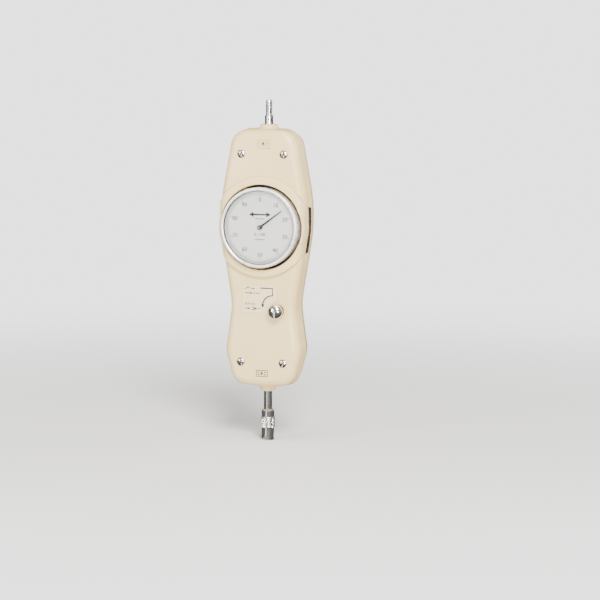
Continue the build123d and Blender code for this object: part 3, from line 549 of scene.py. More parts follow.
# the casing's outline as one face: straight runs joined by arcs
def outlineBm(depth):
    right = casing["corners"]
    loop = right + [(-x, z, radius, steps) for x, z, radius, steps in right[-2:0:-1]]
    places = [Vector((x, z)) for x, z, radius, steps in loop]
    bm = bmesh.new()
    for i, (x, z, radius, steps) in enumerate(loop):
        after = places[(i + 1) % len(places)]
        for point in cornerArc(places[i - 1], places[i], after, radius, steps):
            bm.verts.new((point.x * mm, atDepth(depth), point.y * mm))
    bmesh.ops.contextual_create(bm, geom=bm.verts[:])
    bm.faces.ensure_lookup_table()
    return bm


# a solid between two depths: its far face drawn in by the draft and its rim rounded
def draftedForm(start, end, inset, draft, rounding, segments=8):
    bm = outlineBm(start)
    face = bm.faces[:][0]
    if inset:
        rim = bmesh.ops.inset_individual(bm, faces=[face], thickness=inset * mm, use_even_offset=True)
        bmesh.ops.delete(bm, geom=rim["faces"], context="FACES")
    base = face.copy()
    base.normal_flip()
    bmesh.ops.inset_individual(bm, faces=[face], thickness=draft * mm, use_even_offset=True)
    bmesh.ops.translate(bm, vec=(0, (end - start) * mm, 0), verts=face.verts)
    bmesh.ops.remove_doubles(bm, verts=bm.verts, dist=seamGap)
    if rounding:
        bmesh.ops.bevel(bm, geom=list(face.edges), offset=rounding * mm, segments=segments, profile=0.5,
                        affect="EDGES", material=-1, clamp_overlap=True)
    bmesh.ops.recalc_face_normals(bm, faces=bm.faces)
    return bm


def neckBosses():
    forms = []
    for end, part in (("top", "upper"), ("bottom", "lower")):
        profile = [(radius, necks[end] + above) for radius, above in necks[part]]
        forms.append(shaftLathe(profile, soften=necks[part + "Soft"], segments=3))
    return joinBms(*forms)


# cutters for the shaft's way through both necks
def shaftBores():
    bore = necks["bore"]
    return joinBms(*[shaftLathe([(0, low), (bore, low), (bore, high), (0, high)], steps=48)
                     for low, high in necks["boreHeights"]])


# a round bar along Y at (x, z) between two depths, all in mm
def barBm(x, z, radius, start, end, steps=32):
    profile = [(0, start), (radius, start), (radius, end), (0, end)]
    return dialLathe(profile, x * mm, z * mm, steps=steps)


# keeps what lies in front of the parting plane, or behind it
def halfOf(bm, front):
    plane = atDepth(casing["partDepth"])
    geom = list(bm.verts) + list(bm.edges) + list(bm.faces)
    bmesh.ops.bisect_plane(bm, geom=geom, plane_co=(0, plane, 0), plane_no=(0, 1, 0),
                           clear_outer=front, clear_inner=not front)
    edges = [e for e in bm.edges if e.is_boundary]
    bmesh.ops.holes_fill(bm, edges=edges, sides=0)
    return bm


# painted shade: the inward walls of the recess and of the windows take a near-black finish that stands in
# for the shade inside them
def primeInside(piece, low, high, fronts):
    mesh = piece.data
    mesh.materials.append(recessShade)
    axis = Vector((dialX, dialZ))
    facing = 0.5                                        # cosine between a face and the way it must look
    for face in mesh.polygons:
        spoke = Vector((face.center.x, face.center.z)) - axis
        depth = (face.center.y - faceY) / mm
        inward = Vector((face.normal.x, face.normal.z)).dot(spoke) < -facing * spoke.length
        near = spoke.length < casing["plateauRadius"] * mm
        if near and low < depth < high and (inward or fronts and face.normal.y < -facing):
            face.material_index = 1


# gives a finished half its place, its painted shade and its weighted normals
def finishCasing(shell, name, node, shadedDepths, fronts):
    piece = addPiece(name, toMesh(shell, name), "housing", enamel, 32, [node])
    primeInside(piece, *shadedDepths, fronts)
    weigh = piece.modifiers.new("weigh", "WEIGHTED_NORMAL")
    weigh.keep_sharp = True


# profiles of (radius, depth) in mm
frontHalf = {
    "rise": 3.1, "soft": 1.5, "skin": 0.03, "raisedFoot": 5,
    "collar": [(30.2, -1.5), (32.2, -1.5), (33.0, 1), (33.0, 7.3), (30.2, 7.3)],
    "recessRadius": 30.7, "mouth": 0.35, "rimGap": 0.02, "grooveRadius": 35.8, "grooveFront": 7.3,
    "screwHole": [(0, -2), (3.35, -2), (3.35, -0.02), (3.1, 0.25), (3.1, 1.1), (1.6, 1.1)],
    "screwBore": 1.6, "postFront": 2,
    "buttonHole": [(0, -2), (5.0, -2), (5.0, 1.0), (4.0, 1.0), (4.0, 6), (0, 6)],
    # depths between which the inward walls take the painted shade
    "shadedDepths": (7.0, 15.1),
}


# the outline's own form, cut to a round with a soft edge
def plateauBm():
    rise, radius, soft = frontHalf["rise"], casing["plateauRadius"], frontHalf["soft"]
    crest, foot = -rise + frontHalf["skin"], frontHalf["raisedFoot"]
    draft = casing["frontDraft"] * casing["plateauDraft"]
    tall = draftedForm(casing["partDepth"], -rise, 0, draft, casing["frontRound"])
    angles = [radians(15 * i) for i in range(7)]
    rim = [(radius - soft * (1 - sin(a)), crest + soft * (1 - cos(a))) for a in angles]
    raised = dialLathe([(0, crest)] + rim + [(radius, foot), (0, foot)], steps=144)
    return carve(tall, raised, "INTERSECT")


# the dial's recess, with a wider groove behind it for the thumb ring
def dialWellBm():
    recess, groove = frontHalf["recessRadius"], frontHalf["grooveRadius"]
    rise, mouth, shelf = frontHalf["rise"], frontHalf["mouth"], frontHalf["grooveFront"]
    outside, behind = -6, casing["partDepth"] + 1
    return dialLathe([(0, outside), (recess + mouth, outside), (recess + mouth, -rise - frontHalf["rimGap"]),
                      (recess, -rise + mouth), (recess, shelf), (groove, shelf), (groove, behind),
                      (0, behind)], steps=144)


def makeFrontCasing():
    part, wall, rounding = casing["partDepth"], casing["wall"], casing["frontRound"]
    shell = draftedForm(part, 0, 0, casing["frontDraft"], rounding)
    shell = carve(shell, plateauBm(), "UNION")
    shell = carve(shell, halfOf(neckBosses(), True), "UNION")
    hollow = draftedForm(part + casing["hollowPast"], wall, wall - casing["hollowEase"],
                         casing["frontDraft"], rounding - wall, 4)
    shell = carve(shell, hollow, "DIFFERENCE")
    posts = [barBm(x, z, casing["postRadius"], frontHalf["postFront"], part) for x, z in casing["screws"]]
    collar = dialLathe(frontHalf["collar"], steps=96)
    shell = carve(shell, joinBms(collar, *posts), "UNION")
    screwHole = frontHalf["screwHole"] + [(frontHalf["screwBore"], part + 1), (0, part + 1)]
    holes = [dialLathe(screwHole, x * mm, z * mm, steps=48) for x, z in casing["screws"]]
    buttonHole = dialLathe(frontHalf["buttonHole"], buttonX, buttonZ, steps=48)
    shell = carve(shell, joinBms(dialWellBm(), buttonHole, *holes), "DIFFERENCE")
    shell = carve(shell, shaftBores(), "DIFFERENCE")
    finishCasing(shell, "frontCasing", "front_shell", frontHalf["shadedDepths"], False)


rearHalf = {
    # each window's rear edge is the part of a ring that lies in a box; radii in mm, boxes in metres
    "sill": (30.2, 35.7), "sillFront": 13.2, "sillReach": 2,
    "windows": [((0.0275, -0.05, -0.02), (0.05, 0.01, 0.07)),
                ((-0.05, -0.05, -0.02), (-0.0275, 0.01, 0.07))],
    "postBack": 31, "padRadius": 4.2, "padFront": 23,
    "mounts": [(-10, -45), (-10, 45), (10, -45), (10, 45)],
    "mountBore": 1.65, "mountMouth": 2.1, "mountFront": 25,
    # last, the depths between which walls facing in or forward take the painted shade
    "screwBore": (1.45, 14, 21), "shadedDepths": (13.0, 15.4),
}


def sillsBm():
    inner, outer = rearHalf["sill"]
    front, back = rearHalf["sillFront"], casing["partDepth"] + 1
    ring = dialLathe([(inner, front), (outer, front), (outer, back), (inner, back)], steps=144)
    reach, draft = rearHalf["sillReach"], casing["frontDraft"] * casing["plateauDraft"]
    sills = carve(ring, draftedForm(casing["partDepth"] + reach, -reach, 0, draft, 0), "INTERSECT")
    return carve(sills, joinBms(*[boxBm(low, high) for low, high in rearHalf["windows"]]), "INTERSECT")


def makeRearCasing():
    part, depth, wall = casing["partDepth"], casing["depth"], casing["wall"]
    draft, rounding = casing["rearDraft"], casing["rearRound"]
    shell = draftedForm(part, depth, 0, draft, rounding)
    shell = carve(shell, halfOf(neckBosses(), False), "UNION")
    hollow = draftedForm(part - casing["hollowPast"], depth - wall, wall - casing["hollowEase"],
                         draft, rounding - wall, 4)
    shell = carve(shell, hollow, "DIFFERENCE")
    back = rearHalf["postBack"]
    posts = [barBm(x, z, casing["postRadius"], part, back) for x, z in casing["screws"]]
    pads = [barBm(x, z, rearHalf["padRadius"], rearHalf["padFront"], back) for x, z in rearHalf["mounts"]]
    shell = carve(shell, joinBms(sillsBm(), *posts, *pads), "UNION")
    bore, mouth, front = rearHalf["mountBore"], rearHalf["mountMouth"], rearHalf["mountFront"]
    mountHole = [(0, front), (bore, front), (bore, depth - 0.5), (mouth, depth + 0.01), (mouth, depth + 1),
                 (0, depth + 1)]
    holes = [dialLathe(mountHole, x * mm, z * mm, steps=32) for x, z in rearHalf["mounts"]]
    screwBores = [barBm(x, z, *rearHalf["screwBore"], steps=24) for x, z in casing["screws"]]
    shell = carve(shell, joinBms(*holes, *screwBores), "DIFFERENCE")
    shell = carve(shell, shaftBores(), "DIFFERENCE")
    finishCasing(shell, "rearCasing", "rear_shell", rearHalf["shadedDepths"], True)


capLow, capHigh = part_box("button_cap")
buttonX, buttonZ = (capLow.x + capHigh.x) / 2, (capLow.z + capHigh.z) / 2
makeFrontCasing()
print("front casing made")
makeRearCasing()
print("rear casing made")


# printing and fine lines

# the mesh of a curve or text that is used up
def curveBm(curve):
    holder = bpy.data.objects.new("line", curve)
    bpy.context.scene.collection.objects.link(holder)
    bpy.context.view_layer.update()
    mesh = bpy.data.meshes.new_from_object(holder)
    bpy.data.objects.remove(holder)
    bm = bmesh.new()
    bm.from_mesh(mesh)
    bpy.data.meshes.remove(mesh)
    bmesh.ops.remove_doubles(bm, verts=bm.verts, dist=seamGap)
    return bm


flatness = 0.12             # a printed line's height to its width
printHeight = 0.03          # how far figures and arrowheads stand up, in mm


# a flat line with round ends along (x, z) points in mm, lying on the XY plane
def strokeBm(points, width, closed=False):
    curve = bpy.data.curves.new("stroke", "CURVE")
    curve.dimensions = "3D"
    curve.bevel_depth = width * mm / 2
    curve.bevel_resolution = 2
    curve.use_fill_caps = True
    spline = curve.splines.new("POLY")
    spline.points.add(len(points) - 1)
    for point, (x, z) in zip(spline.points, points):
        point.co = (x * mm, z * mm, 0, 1)
    spline.use_cyclic_u = closed
    bm = curveBm(curve)
    bmesh.ops.scale(bm, vec=(1, 1, flatness), verts=bm.verts)
    return bm


# plain figures centred on a point, lying on the XY plane
def textBm(text, size, x, z, bold=0.0):
    curve = bpy.data.curves.new("figures", "FONT")
    curve.body = text
    curve.size = size * mm
    curve.align_x, curve.align_y = "CENTER", "CENTER"
    curve.offset = bold * mm
    curve.extrude = printHeight * mm
    bm = curveBm(curve)
    bmesh.ops.translate(bm, vec=(x * mm, z * mm, 0), verts=bm.verts)
    return bm


# a solid arrowhead: a flat triangle given a thickness
def arrowBm(tip, direction, length, half):
    bm = bmesh.new()
    bmesh.ops.create_circle(bm, cap_ends=True, radius=1, segments=3)
    bmesh.ops.scale(bm, vec=(half * mm / triangleHalf, length * mm / triangleTall, 1), verts=bm.verts)
    bmesh.ops.translate(bm, vec=(0, -length * mm / triangleTall, 0), verts=bm.verts)
    bmesh.ops.rotate(bm, cent=(0, 0, 0), matrix=Matrix.Rotation(direction, 3, "Z"), verts=bm.verts)
    bmesh.ops.translate(bm, vec=(tip[0] * mm, tip[1] * mm, 0), verts=bm.verts)
    thicken(bm, (0, 0, printHeight))
    return bm


# stands flat work up at (x, y, z), facing the front
def addPrint(name, parts, x, z, y, body, material):
    bm = joinBms(*parts)
    stand = Matrix.Translation((x, y, z)) @ Matrix.Rotation(radians(90), 4, "X")
    bmesh.ops.transform(bm, matrix=stand, verts=bm.verts)
    addPiece(name, toMesh(bm, name), body, material)


# dial

dial = {"figureSize": 4.0, "figureRadius": 19.8, "outer": 24.0, "longInner": 21.7, "midInner": 22.3,
        "shortInner": 22.8, "longWidth": 0.34, "shortWidth": 0.17, "tickHeight": 0.06, "divisions": 100,
        "bold": 0.05, "arrowHeight": 9.3, "arrowHalf": 5.6, "arrowLine": 1.1, "arrowTip": 8.2,
        "arrowHead": (3.4, 1.9), "range": "0 - 100", "rangeSize": 2.9, "rangeHeight": -5.0,
        "ruleHalf": 3.6, "ruleLine": 0.5, "ruleHeights": (-8.6, 6.3)}


def tickBm(angle, inner, outer, width):
    bm = bmesh.new()
    place = Matrix.Rotation(-angle, 4, "Z") @ Matrix.Translation((0, (inner + outer) / 2 * mm, 0))
    size = Matrix.Diagonal((width * mm, (outer - inner) * mm, dial["tickHeight"] * mm, 1))
    bmesh.ops.create_cube(bm, size=1, matrix=place @ size)
    return bm


def makeDialPrint():
    parts = []
    for mark in range(dial["divisions"]):
        angle = 2 * pi * mark / dial["divisions"]
        if mark % 10 == 0:
            parts.append(tickBm(angle, dial["longInner"], dial["outer"], dial["longWidth"]))
            x, z = dial["figureRadius"] * sin(angle), dial["figureRadius"] * cos(angle)
            parts.append(textBm(str(mark), dial["figureSize"], x, z, dial["bold"]))
        elif mark % 5 == 0:
            parts.append(tickBm(angle, dial["midInner"], dial["outer"], dial["shortWidth"]))
        else:
            parts.append(tickBm(angle, dial["shortInner"], dial["outer"], dial["shortWidth"]))
    addPrint("dialScale", parts, dialX, dialZ, dialFront, "dial", inkGrey)
    # a generic two-way arrow above the hub, and the range in plain figures below it
    level, half, tip = dial["arrowHeight"], dial["arrowHalf"], dial["arrowTip"]
    arrow = [strokeBm([(-half, level), (half, level)], dial["arrowLine"])]
    for side in (-1, 1):
        arrow.append(arrowBm((side * tip, level), radians(-90 * side), *dial["arrowHead"]))
    addPrint("dialArrow", arrow, dialX, dialZ, dialFront, "dial", black)
    half = dial["ruleHalf"]
    lower = [textBm(dial["range"], dial["rangeSize"], 0, dial["rangeHeight"], dial["bold"])]
    lower += [strokeBm([(-half, z), (half, z)], dial["ruleLine"]) for z in dial["ruleHeights"]]
    addPrint("dialRange", lower, dialX, dialZ, dialFront, "dial", inkGrey)


makeDialPrint()
print("dial printed")


# bezel, rolled over the lens: (radius, depth) in mm
bezelProfile = [(28.01, -1.0), (28.5, -1.0), (28.75, -1.3), (28.78, -7.1), (28.6, -7.6), (28.2, -7.92),
                (27.7, -8.0), (27.2, -7.92), (26.8, -7.7), (26.5, -7.46), (26.92, -7.41), (26.92, -3.25),
                (28.01, -3.25)]


def makeBezel():
    bezel = dialLathe(bezelProfile, steps=192)
    addPiece("bezel", toMesh(bezel, "bezel"), "dial", nickel, 40, ["bezel_ring"])


# lengths and widths in mm, and depths counted from the casing's flat front
pointer = {"angle": 53, "root": 1.3, "length": 19.3, "rootHalf": 0.78, "taper": 0.56, "front": -5.08,
           "thick": 0.34, "ring": [(0.78, -5.1), (1.5, -5.1), (1.5, -4.72), (0.78, -4.72)], "ringSoft": 0.06,
           "dot": [(0, -5.86), (0.4, -5.84), (0.5, -5.78), (0.5, -5.4), (0, -5.4)]}


# blade that starts clear of a black ring, with the bright arbor in the ring
def makePointer():
    ring = dialLathe(pointer["ring"], 0, 0, steps=48, soften=pointer["ringSoft"])
    bmesh.ops.translate(ring, vec=(0, -faceY, 0), verts=ring.verts)
    blade = bmesh.new()
    bmesh.ops.create_grid(blade, x_segments=1, y_segments=8, size=0.5)
    for v in blade.verts:
        reach = v.co.y + 0.5                            # 0 at the root, 1 at the tip
        half = pointer["rootHalf"] - pointer["taper"] * reach
        v.co = Vector((2 * v.co.x * half * mm, 0, (pointer["root"] + pointer["length"] * reach) * mm))
    thicken(blade, (0, pointer["thick"], 0))
    bmesh.ops.translate(blade, vec=(0, pointer["front"] * mm, 0), verts=blade.verts)
    turn = Matrix.Rotation(radians(pointer["angle"]), 3, "Y")
    bmesh.ops.rotate(blade, cent=(0, 0, 0), matrix=turn, verts=blade.verts)
    bm = joinBms(ring, blade)
    bmesh.ops.translate(bm, vec=(dialX, faceY, dialZ), verts=bm.verts)
    addPiece("needle", toMesh(bm, "needle"), "pointer", black, 30, ["pointer"])
    dot = dialLathe(pointer["dot"], steps=32)
    addPiece("hubDot", toMesh(dot, "hubDot"), "pointer", steel)


makeBezel()
makePointer()
print("bezel and needle made")


# legend plate with generic pictograms in place of words

# the arrow's own places, and four rows of small marks counted from a left edge
legend = {"line": 0.95, "thin": 0.72, "elbow": [(-0.8, -21.8), (8.6, -21.8), (8.6, -27.0)],
          "sweep": (8.6, -34.6, 7.6, 90, 172), "tip": (0.9, -36.2), "tipTurn": 174, "tipHead": (2.9, 1.3),
          "left": -12.3, "rows": (-22.3, -25.6, -33.4, -36.7)}


# points of an arc in degrees, counted anticlockwise from +X
def arcPoints(x, z, radius, start, end, steps=12):
    angles = [radians(start + (end - start) * i / steps) for i in range(steps + 1)]
    return [(x + radius * cos(a), z + radius * sin(a)) for a in angles]


def makeLegend():
    y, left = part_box("legend_plate")[0].y, legend["left"]
    sweep = arcPoints(*legend["sweep"])[1:]
    arrow = arrowBm(legend["tip"], radians(legend["tipTurn"]), *legend["tipHead"])
    addPrint("legendArrow", [strokeBm(legend["elbow"] + sweep, legend["line"]), arrow], 0, 0, y,
             "housing", black)

    def mark(*points):
        return strokeBm([(left + along, z) for along, z in points], legend["thin"])

    def headMark(along, z, length, half):
        return arrowBm((left + along, z), radians(-90), length, half)

    # held peak, push, live trace, push and turn
    peak, push, trace, turn = legend["rows"]
    marks = [mark((0, peak - 0.7), (1.5, peak + 0.8), (3.6, peak + 0.8)), mark((4.6, peak), (7.2, peak)),
             mark((0, push), (3.6, push)), headMark(5.8, push, 2.0, 1.0),
             mark((6.8, push + 0.8), (6.8, push - 0.8)), mark((8.0, push), (10.8, push)),
             mark(*[(0.9 * i, trace - 0.7 + 1.4 * (i % 2)) for i in range(9)]),
             mark((0, turn), (2.2, turn)), headMark(4.2, turn, 1.9, 0.9),
             mark(*arcPoints(6.2, turn, 1.0, 150, -150)),
             headMark(9.4, turn, 1.9, 0.9), mark((9.8, turn), (11.2, turn))]
    addPrint("legendMarks", marks, 0, 0, y, "housing", inkGrey)


# the casing's two labels: an outlined box with a plain arrow and four dashes
labels = {"upper": {"x": 0.8, "z": 81.2, "size": (8.8, 5.8), "line": 0.36, "way": 1},
          "lower": {"x": 0.4, "z": -83.6, "size": (8.4, 4.4), "line": 0.7, "way": -1}}
# parts of the box's half width or half height; extra widens the arrow's line, in mm
labelMarks = {"tip": 0.7, "foot": 0.2, "extra": 0.1, "head": (0.8, 0.5), "dash": (0.35, 0.75), "level": 0.4}


def makeLabels():
    marks = labelMarks
    for name, label in labels.items():
        w, h = label["size"][0] / 2, label["size"][1] / 2
        x, z, line, way = label["x"], label["z"], label["line"], label["way"]
        reach = h * marks["tip"] * way
        long, wide = marks["head"]
        box = [(x - w, z - h), (x + w, z - h), (x + w, z + h), (x - w, z + h)]
        parts = [strokeBm(box, line, closed=True),
                 strokeBm([(x, z - reach), (x, z + reach * marks["foot"])], line + marks["extra"]),
                 arrowBm((x, z + reach), 0 if way > 0 else pi, h * long, h * wide)]
        start, end = marks["dash"]
        for side in (-1, 1):
            for level in (-marks["level"], marks["level"]):
                height = z + level * h
                parts.append(strokeBm([(x + side * w * start, height), (x + side * w * end, height)], line))
        addPrint(name + "Label", parts, 0, 0, faceY, "housing", black if way < 0 else inkGrey)


makeLegend()
makeLabels()
print("legend and labels made")


# button: a dome on a short skirt, hollow behind; (radius, depth) in mm
button = {"radius": 5.4, "top": -8.6, "waist": -5.0, "skirt": [(0, -3.6), (-0.12, -3.32), (-0.4, -3.2)],
          "inside": [(4.2, -3.2), (4.2, -5.35), (2.02, -5.35), (2.02, -6.58), (0, -6.58)]}


def makeButton():
    radius, top, waist = button["radius"], button["top"], button["waist"]
    angles = [radians(90 - 6 * i) for i in range(16)]
    dome = [(radius * cos(a), waist + (top - waist) * sin(a)) for a in angles]
    skirt = [(radius + out, depth) for out, depth in button["skirt"]]
    bm = dialLathe([(0, top)] + dome[1:] + skirt + button["inside"], buttonX, buttonZ, steps=96)
    addPiece("buttonDome", toMesh(bm, "buttonDome"), "button", chrome, 40, ["button_cap"])


makeButton()
print("button made")


# shaft with its stud, and the notched head

# radii and heights in mm
shaft = {"radius": 3.0, "studRadius": 2.5, "studBase": 101.6, "studTop": 112.4, "tenon": 9.0,
         # below the stud: (inwards from the shaft's radius, under the base); then its run-out and its tip
         "shoulder": [(0, 0.6), (0.2, 0.25)], "seat": 0.05, "lead": 0.25, "runOut": 0.6, "tip": 0.35,
         "pitch": 0.8, "threadDepth": 0.42, "threadSink": 0.02, "threadExtra": 0.05, "threadEnd": 0.3,
         "threadFill": 0.45}

head = {"top": -111.5, "bottom": -133.8, "radius": 4.6, "band": 5.08, "bandTop": -117.5,
        "bandBottom": -124.7, "bandLip": 0.1, "lipGap": 0.4, "bandGap": 0.5, "chamfer": 0.3,
        # from the head's radius and from its top
        "shoulder": [(0, -1.2), (-0.15, -0.95), (-1.1, -0.06), (-1.25, 0)],
        "socketEase": 0.03, "socketEnd": 0.5, "notchHalf": 3.9, "notchDepth": 3.2, "notchLength": 16,
        "knurls": 34, "knurlDepth": 0.34, "knurlRows": 36, "knurlTurns": 5}


# a ridge of triangular section wound up the stud
def threadBm(radius, low, high, pitch, depth, steps=32):
    bm = bmesh.new()
    ring = bmesh.ops.create_circle(bm, cap_ends=False, radius=1, segments=3)["verts"]
    lean = Matrix.Rotation(radians(90), 4, "X") @ Matrix.Rotation(radians(-90), 4, "Z")
    bmesh.ops.transform(bm, matrix=lean, verts=ring)
    wide = pitch * mm * shaft["threadFill"]
    bmesh.ops.scale(bm, vec=(depth * mm / triangleTall, 1, wide / triangleHalf), verts=ring)
    inner = radius - depth / triangleTall
    bmesh.ops.translate(bm, vec=(inner * mm, 0, (low + pitch / 2) * mm), verts=ring)
    turns = int((high - low) / pitch) - 1
    bmesh.ops.spin(bm, geom=bm.verts[:] + bm.edges[:], cent=(0, 0, 0), axis=(0, 0, 1), angle=2 * pi * turns,
                   dvec=(0, 0, pitch * mm / steps), steps=steps * turns)
    bmesh.ops.remove_doubles(bm, verts=bm.verts, dist=seamGap)
    bmesh.ops.holes_fill(bm, edges=[e for e in bm.edges if e.is_boundary], sides=0)
    bmesh.ops.translate(bm, vec=(0, shaftY, 0), verts=bm.verts)
    return bm


def makeShaft():
    r, stud, depth = shaft["radius"], shaft["studRadius"], shaft["threadDepth"]
    base, top, seat = shaft["studBase"], shaft["studTop"], head["top"]
    foot, core, tip = seat - shaft["tenon"], stud - depth, shaft["tip"]
    shoulder = [(r - inwards, base - under) for inwards, under in shaft["shoulder"]]
    rod = shaftLathe([(0, foot), (stud, foot), (stud, seat), (r, seat)] + shoulder +
                     [(stud, base - shaft["seat"]), (stud, base + shaft["lead"]),
                      (core, base + shaft["runOut"]), (core, top - tip), (core - tip, top), (0, top)],
                     steps=96)
    end = shaft["threadEnd"]
    ridge = threadBm(stud - shaft["threadSink"], base + end, top - end, shaft["pitch"],
                     depth + shaft["threadExtra"])
    addPiece("shaftRod", toMesh(joinBms(rod, ridge), "shaftRod"), "shaft", chrome, 25, ["main_shaft"])


# the head's profile, its band in rows fine enough for the knurl
def headProfile():
    r, band, tenon = head["radius"], head["band"], shaft["studRadius"] + head["socketEase"]
    top, bottom, bandTop, bandBottom = head["top"], head["bottom"], head["bandTop"], head["bandBottom"]
    rows, socket = head["knurlRows"], top - shaft["tenon"] - head["socketEnd"]
    chamfer, lip, lipGap, bandGap = head["chamfer"], head["bandLip"], head["lipGap"], head["bandGap"]
    profile = [(0, bottom), (r - chamfer, bottom), (r, bottom + chamfer), (r, bandBottom - bandGap),
               (r + lip, bandBottom - lipGap)]
    profile += [(band, bandBottom + (bandTop - bandBottom) * i / rows) for i in range(rows + 1)]
    profile += [(r + lip, bandTop + lipGap), (r, bandTop + bandGap)]
    profile += [(r + out, top + up) for out, up in head["shoulder"]]
    return profile + [(tenon, top), (tenon, socket), (0, socket)]


# crossed grooves pressed into the band
def pressKnurl(bm):
    band, bandTop, bandBottom = head["band"], head["bandTop"], head["bandBottom"]
    for v in bm.verts:
        spoke = Vector((v.co.x, v.co.y - shaftY))
        if spoke.length < (band - 0.01) * mm:
            continue
        around = spoke.angle_signed(Vector((1, 0)), 0) * head["knurls"] / 2
        climb = (v.co.z / mm - bandBottom) / (bandTop - bandBottom) * pi * head["knurlTurns"]
        height = min(abs(sin(around + climb)), abs(sin(around - climb)))
        spoke *= 1 - head["knurlDepth"] * mm * (1 - height) / spoke.length
        v.co.x, v.co.y = spoke.x, spoke.y + shaftY


# the V notch's cutter, which starts below the head
def notchBm():
    wedge = bmesh.new()
    bmesh.ops.create_circle(wedge, cap_ends=True, radius=1, segments=3)
    half, depth, length = head["notchHalf"], head["notchDepth"], head["notchLength"]
    past = 1.3                               # the wedge is this much larger than the notch
    tall = depth / triangleTall * past
    bmesh.ops.scale(wedge, vec=(half / triangleHalf * past * mm, tall * mm, 1), verts=wedge.verts)
    bmesh.ops.translate(wedge, vec=(0, (depth - tall) * mm, -length / 2 * mm), verts=wedge.verts)
    thicken(wedge, (0, 0, length))
    stand = Matrix.Translation((0, shaftY, head["bottom"] * mm)) @ Matrix.Rotation(radians(90), 4, "X")
    bmesh.ops.transform(wedge, matrix=stand, verts=wedge.verts)
    return wedge


# head with a diamond-knurled band and a V notch
def makeHead():
    bm = shaftLathe(headProfile(), steps=head["knurls"] * 6)
    pressKnurl(bm)
    bm = carve(bm, notchBm(), "DIFFERENCE")
    addPiece("pushHead", toMesh(bm, "pushHead"), "shaft", chrome, 30, ["notch_head"])


makeShaft()
makeHead()
print("shaft and head made")


# springs, which shorten as their joints move; sizes in mm
springs = {"main": {"radius": 6.4, "wire": 0.75, "low": 60.55, "high": 83.95, "turns": 6},
           "button": {"radius": 3.0, "wire": 0.32, "low": -5.3, "high": -0.05, "turns": 3}}


# round wire wound about an axis at an even pitch, its two ends capped; low and high in mm
def helixBm(centre, axis, radius, wire, low, high, turns, steps=28):
    bm = bmesh.new()
    ring = bmesh.ops.create_circle(bm, cap_ends=False, radius=wire * mm, segments=10)["verts"]
    bmesh.ops.rotate(bm, cent=(0, 0, 0), matrix=Matrix.Rotation(radians(90), 3, "X"), verts=ring)
    bmesh.ops.translate(bm, vec=(radius * mm, 0, (low + wire) * mm), verts=ring)
    bmesh.ops.spin(bm, geom=bm.verts[:] + bm.edges[:], cent=(0, 0, 0), axis=(0, 0, 1),
                   dvec=(0, 0, (high - low - 2 * wire) * mm / (turns * steps)), angle=2 * pi * turns,
                   steps=turns * steps)
    bmesh.ops.remove_doubles(bm, verts=bm.verts, dist=seamGap)
    ends = [e for e in bm.edges if e.is_boundary]
    bmesh.ops.holes_fill(bm, edges=ends, sides=0)
    bmesh.ops.transform(bm, matrix=ontoAxis(centre, axis), verts=bm.verts)
    return bm


def makeSprings():
    main = helixBm((0, shaftY, 0), "z", **springs["main"])
    piece = addPiece("mainCoil", toMesh(main, "mainCoil"), "housing", steel, 60, ["main_spring"])
    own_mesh(piece)
    little = helixBm((buttonX, faceY, buttonZ), "y", **springs["button"])
    piece = addPiece("buttonCoil", toMesh(little, "buttonCoil"), "housing", steel, 60, ["button_spring"])
    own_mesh(piece)


makeSprings()
print("springs made")


# casing screws with crossed slots, painted shade black inside the slots: (radius, depth) in mm
screw = {"profile": [(0, -0.48), (1.2, -0.44), (2.1, -0.25), (2.6, 0.12), (2.76, 0.5), (2.76, 1.05),
                     (1.35, 1.05), (1.35, 18.3), (0, 18.3)],
         "slotTurn": 0.35, "slotSize": (3.5, 2.4, 0.62), "slotTaper": (0.55, 1, 0.8), "slotDepth": -0.35,
         "slotShadeRadius": 1.8, "slotShadeDepth": (-0.26, 0.95)}


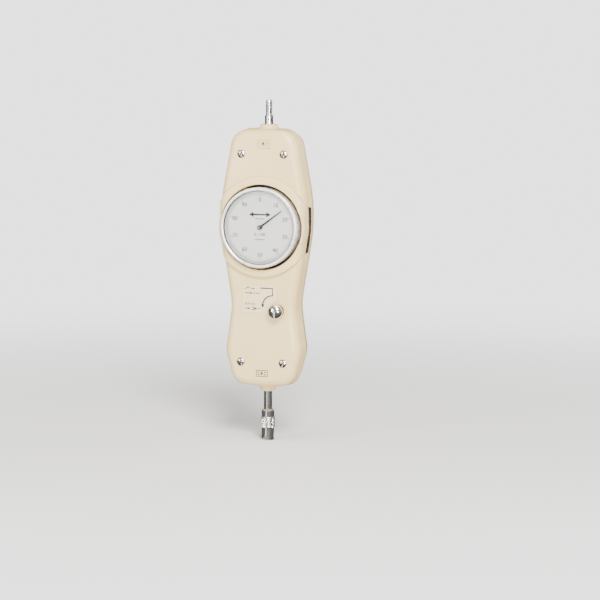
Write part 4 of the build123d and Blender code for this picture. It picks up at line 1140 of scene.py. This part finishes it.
# one arm of the cross, narrower at its inner end
def slotBm(x, z, turn):
    arm = bmesh.new()
    size = Matrix.Diagonal((*[side * mm for side in screw["slotSize"]], 1))
    bmesh.ops.create_cube(arm, size=1, matrix=size)
    inner = [v for v in arm.verts if v.co.y > 0]
    bmesh.ops.scale(arm, vec=screw["slotTaper"], verts=inner)
    bmesh.ops.rotate(arm, cent=(0, 0, 0), matrix=Matrix.Rotation(turn, 3, "Y"), verts=arm.verts)
    place = (x * mm, faceY + screw["slotDepth"] * mm, z * mm)
    bmesh.ops.translate(arm, vec=place, verts=arm.verts)
    return arm


def makeScrews():
    parts = []
    for x, z in casing["screws"]:
        bm = dialLathe(screw["profile"], x * mm, z * mm, steps=64)
        for turn in (screw["slotTurn"], screw["slotTurn"] + pi / 2):
            bm = carve(bm, slotBm(x, z, turn), "DIFFERENCE")
        parts.append(bm)
    mesh = toMesh(joinBms(*parts), "coverScrews")
    piece = addPiece("coverScrews", mesh, "housing", chrome, 30, ["cover_screws"])
    # painted shade: the faces inside the slots take black for the shade in the cross
    piece.data.materials.append(black)
    front, back = screw["slotShadeDepth"]
    for face in piece.data.polygons:
        depth = (face.center.y - faceY) / mm
        place = Vector((face.center.x, face.center.z)) / mm
        near = min((place - Vector(axis)).length for axis in casing["screws"])
        if near < screw["slotShadeRadius"] and front < depth < back:
            face.material_index = 1


makeScrews()
print("screws made")


# plain CAD nodes keep their shape and get a finish
weldGap, creaseAngle = 1e-6, 25


def dressNodes():
    finishes = {
        chrome: ["button_bushing"],
        nickel: ["dial_carrier"],
        black: ["pointer_cap"],
        steel: ["stop_bracket", "stop_screws", "plate_screws", "hairspring", "friction_spring",
                "lever_pin", "spring_collar", "rack_bracket", "clamp_screw", "train_arbor",
                "rack_pinion", "centre_arbor", "centre_pinion", "button_stem",
                "button_collar", "brake_lever", "hub_bushing"],
        brass: ["upper_bushing", "lower_bushing", "rear_plate", "front_plate", "plate_pillars",
                "rack", "train_wheel", "brake_disc"],
        brown: ["thumb_ring", "brake_shoe"],
        white: ["dial_plate"],
        grey: ["lens_seat"],
        crystal: ["lens"],
        legendTone: ["legend_plate"],
    }
    for material, names in finishes.items():
        for name in names:
            mesh = nodes[name].data
            mesh.materials.clear()
            mesh.materials.append(material)
            weld = nodes[name].modifiers.new("weld", "WELD")
            weld.merge_threshold = weldGap
            split = nodes[name].modifiers.new("split", "EDGE_SPLIT")
            split.split_angle = radians(creaseAngle)
            for face in mesh.polygons:
                face.use_smooth = True


dressNodes()
print("nodes dressed")
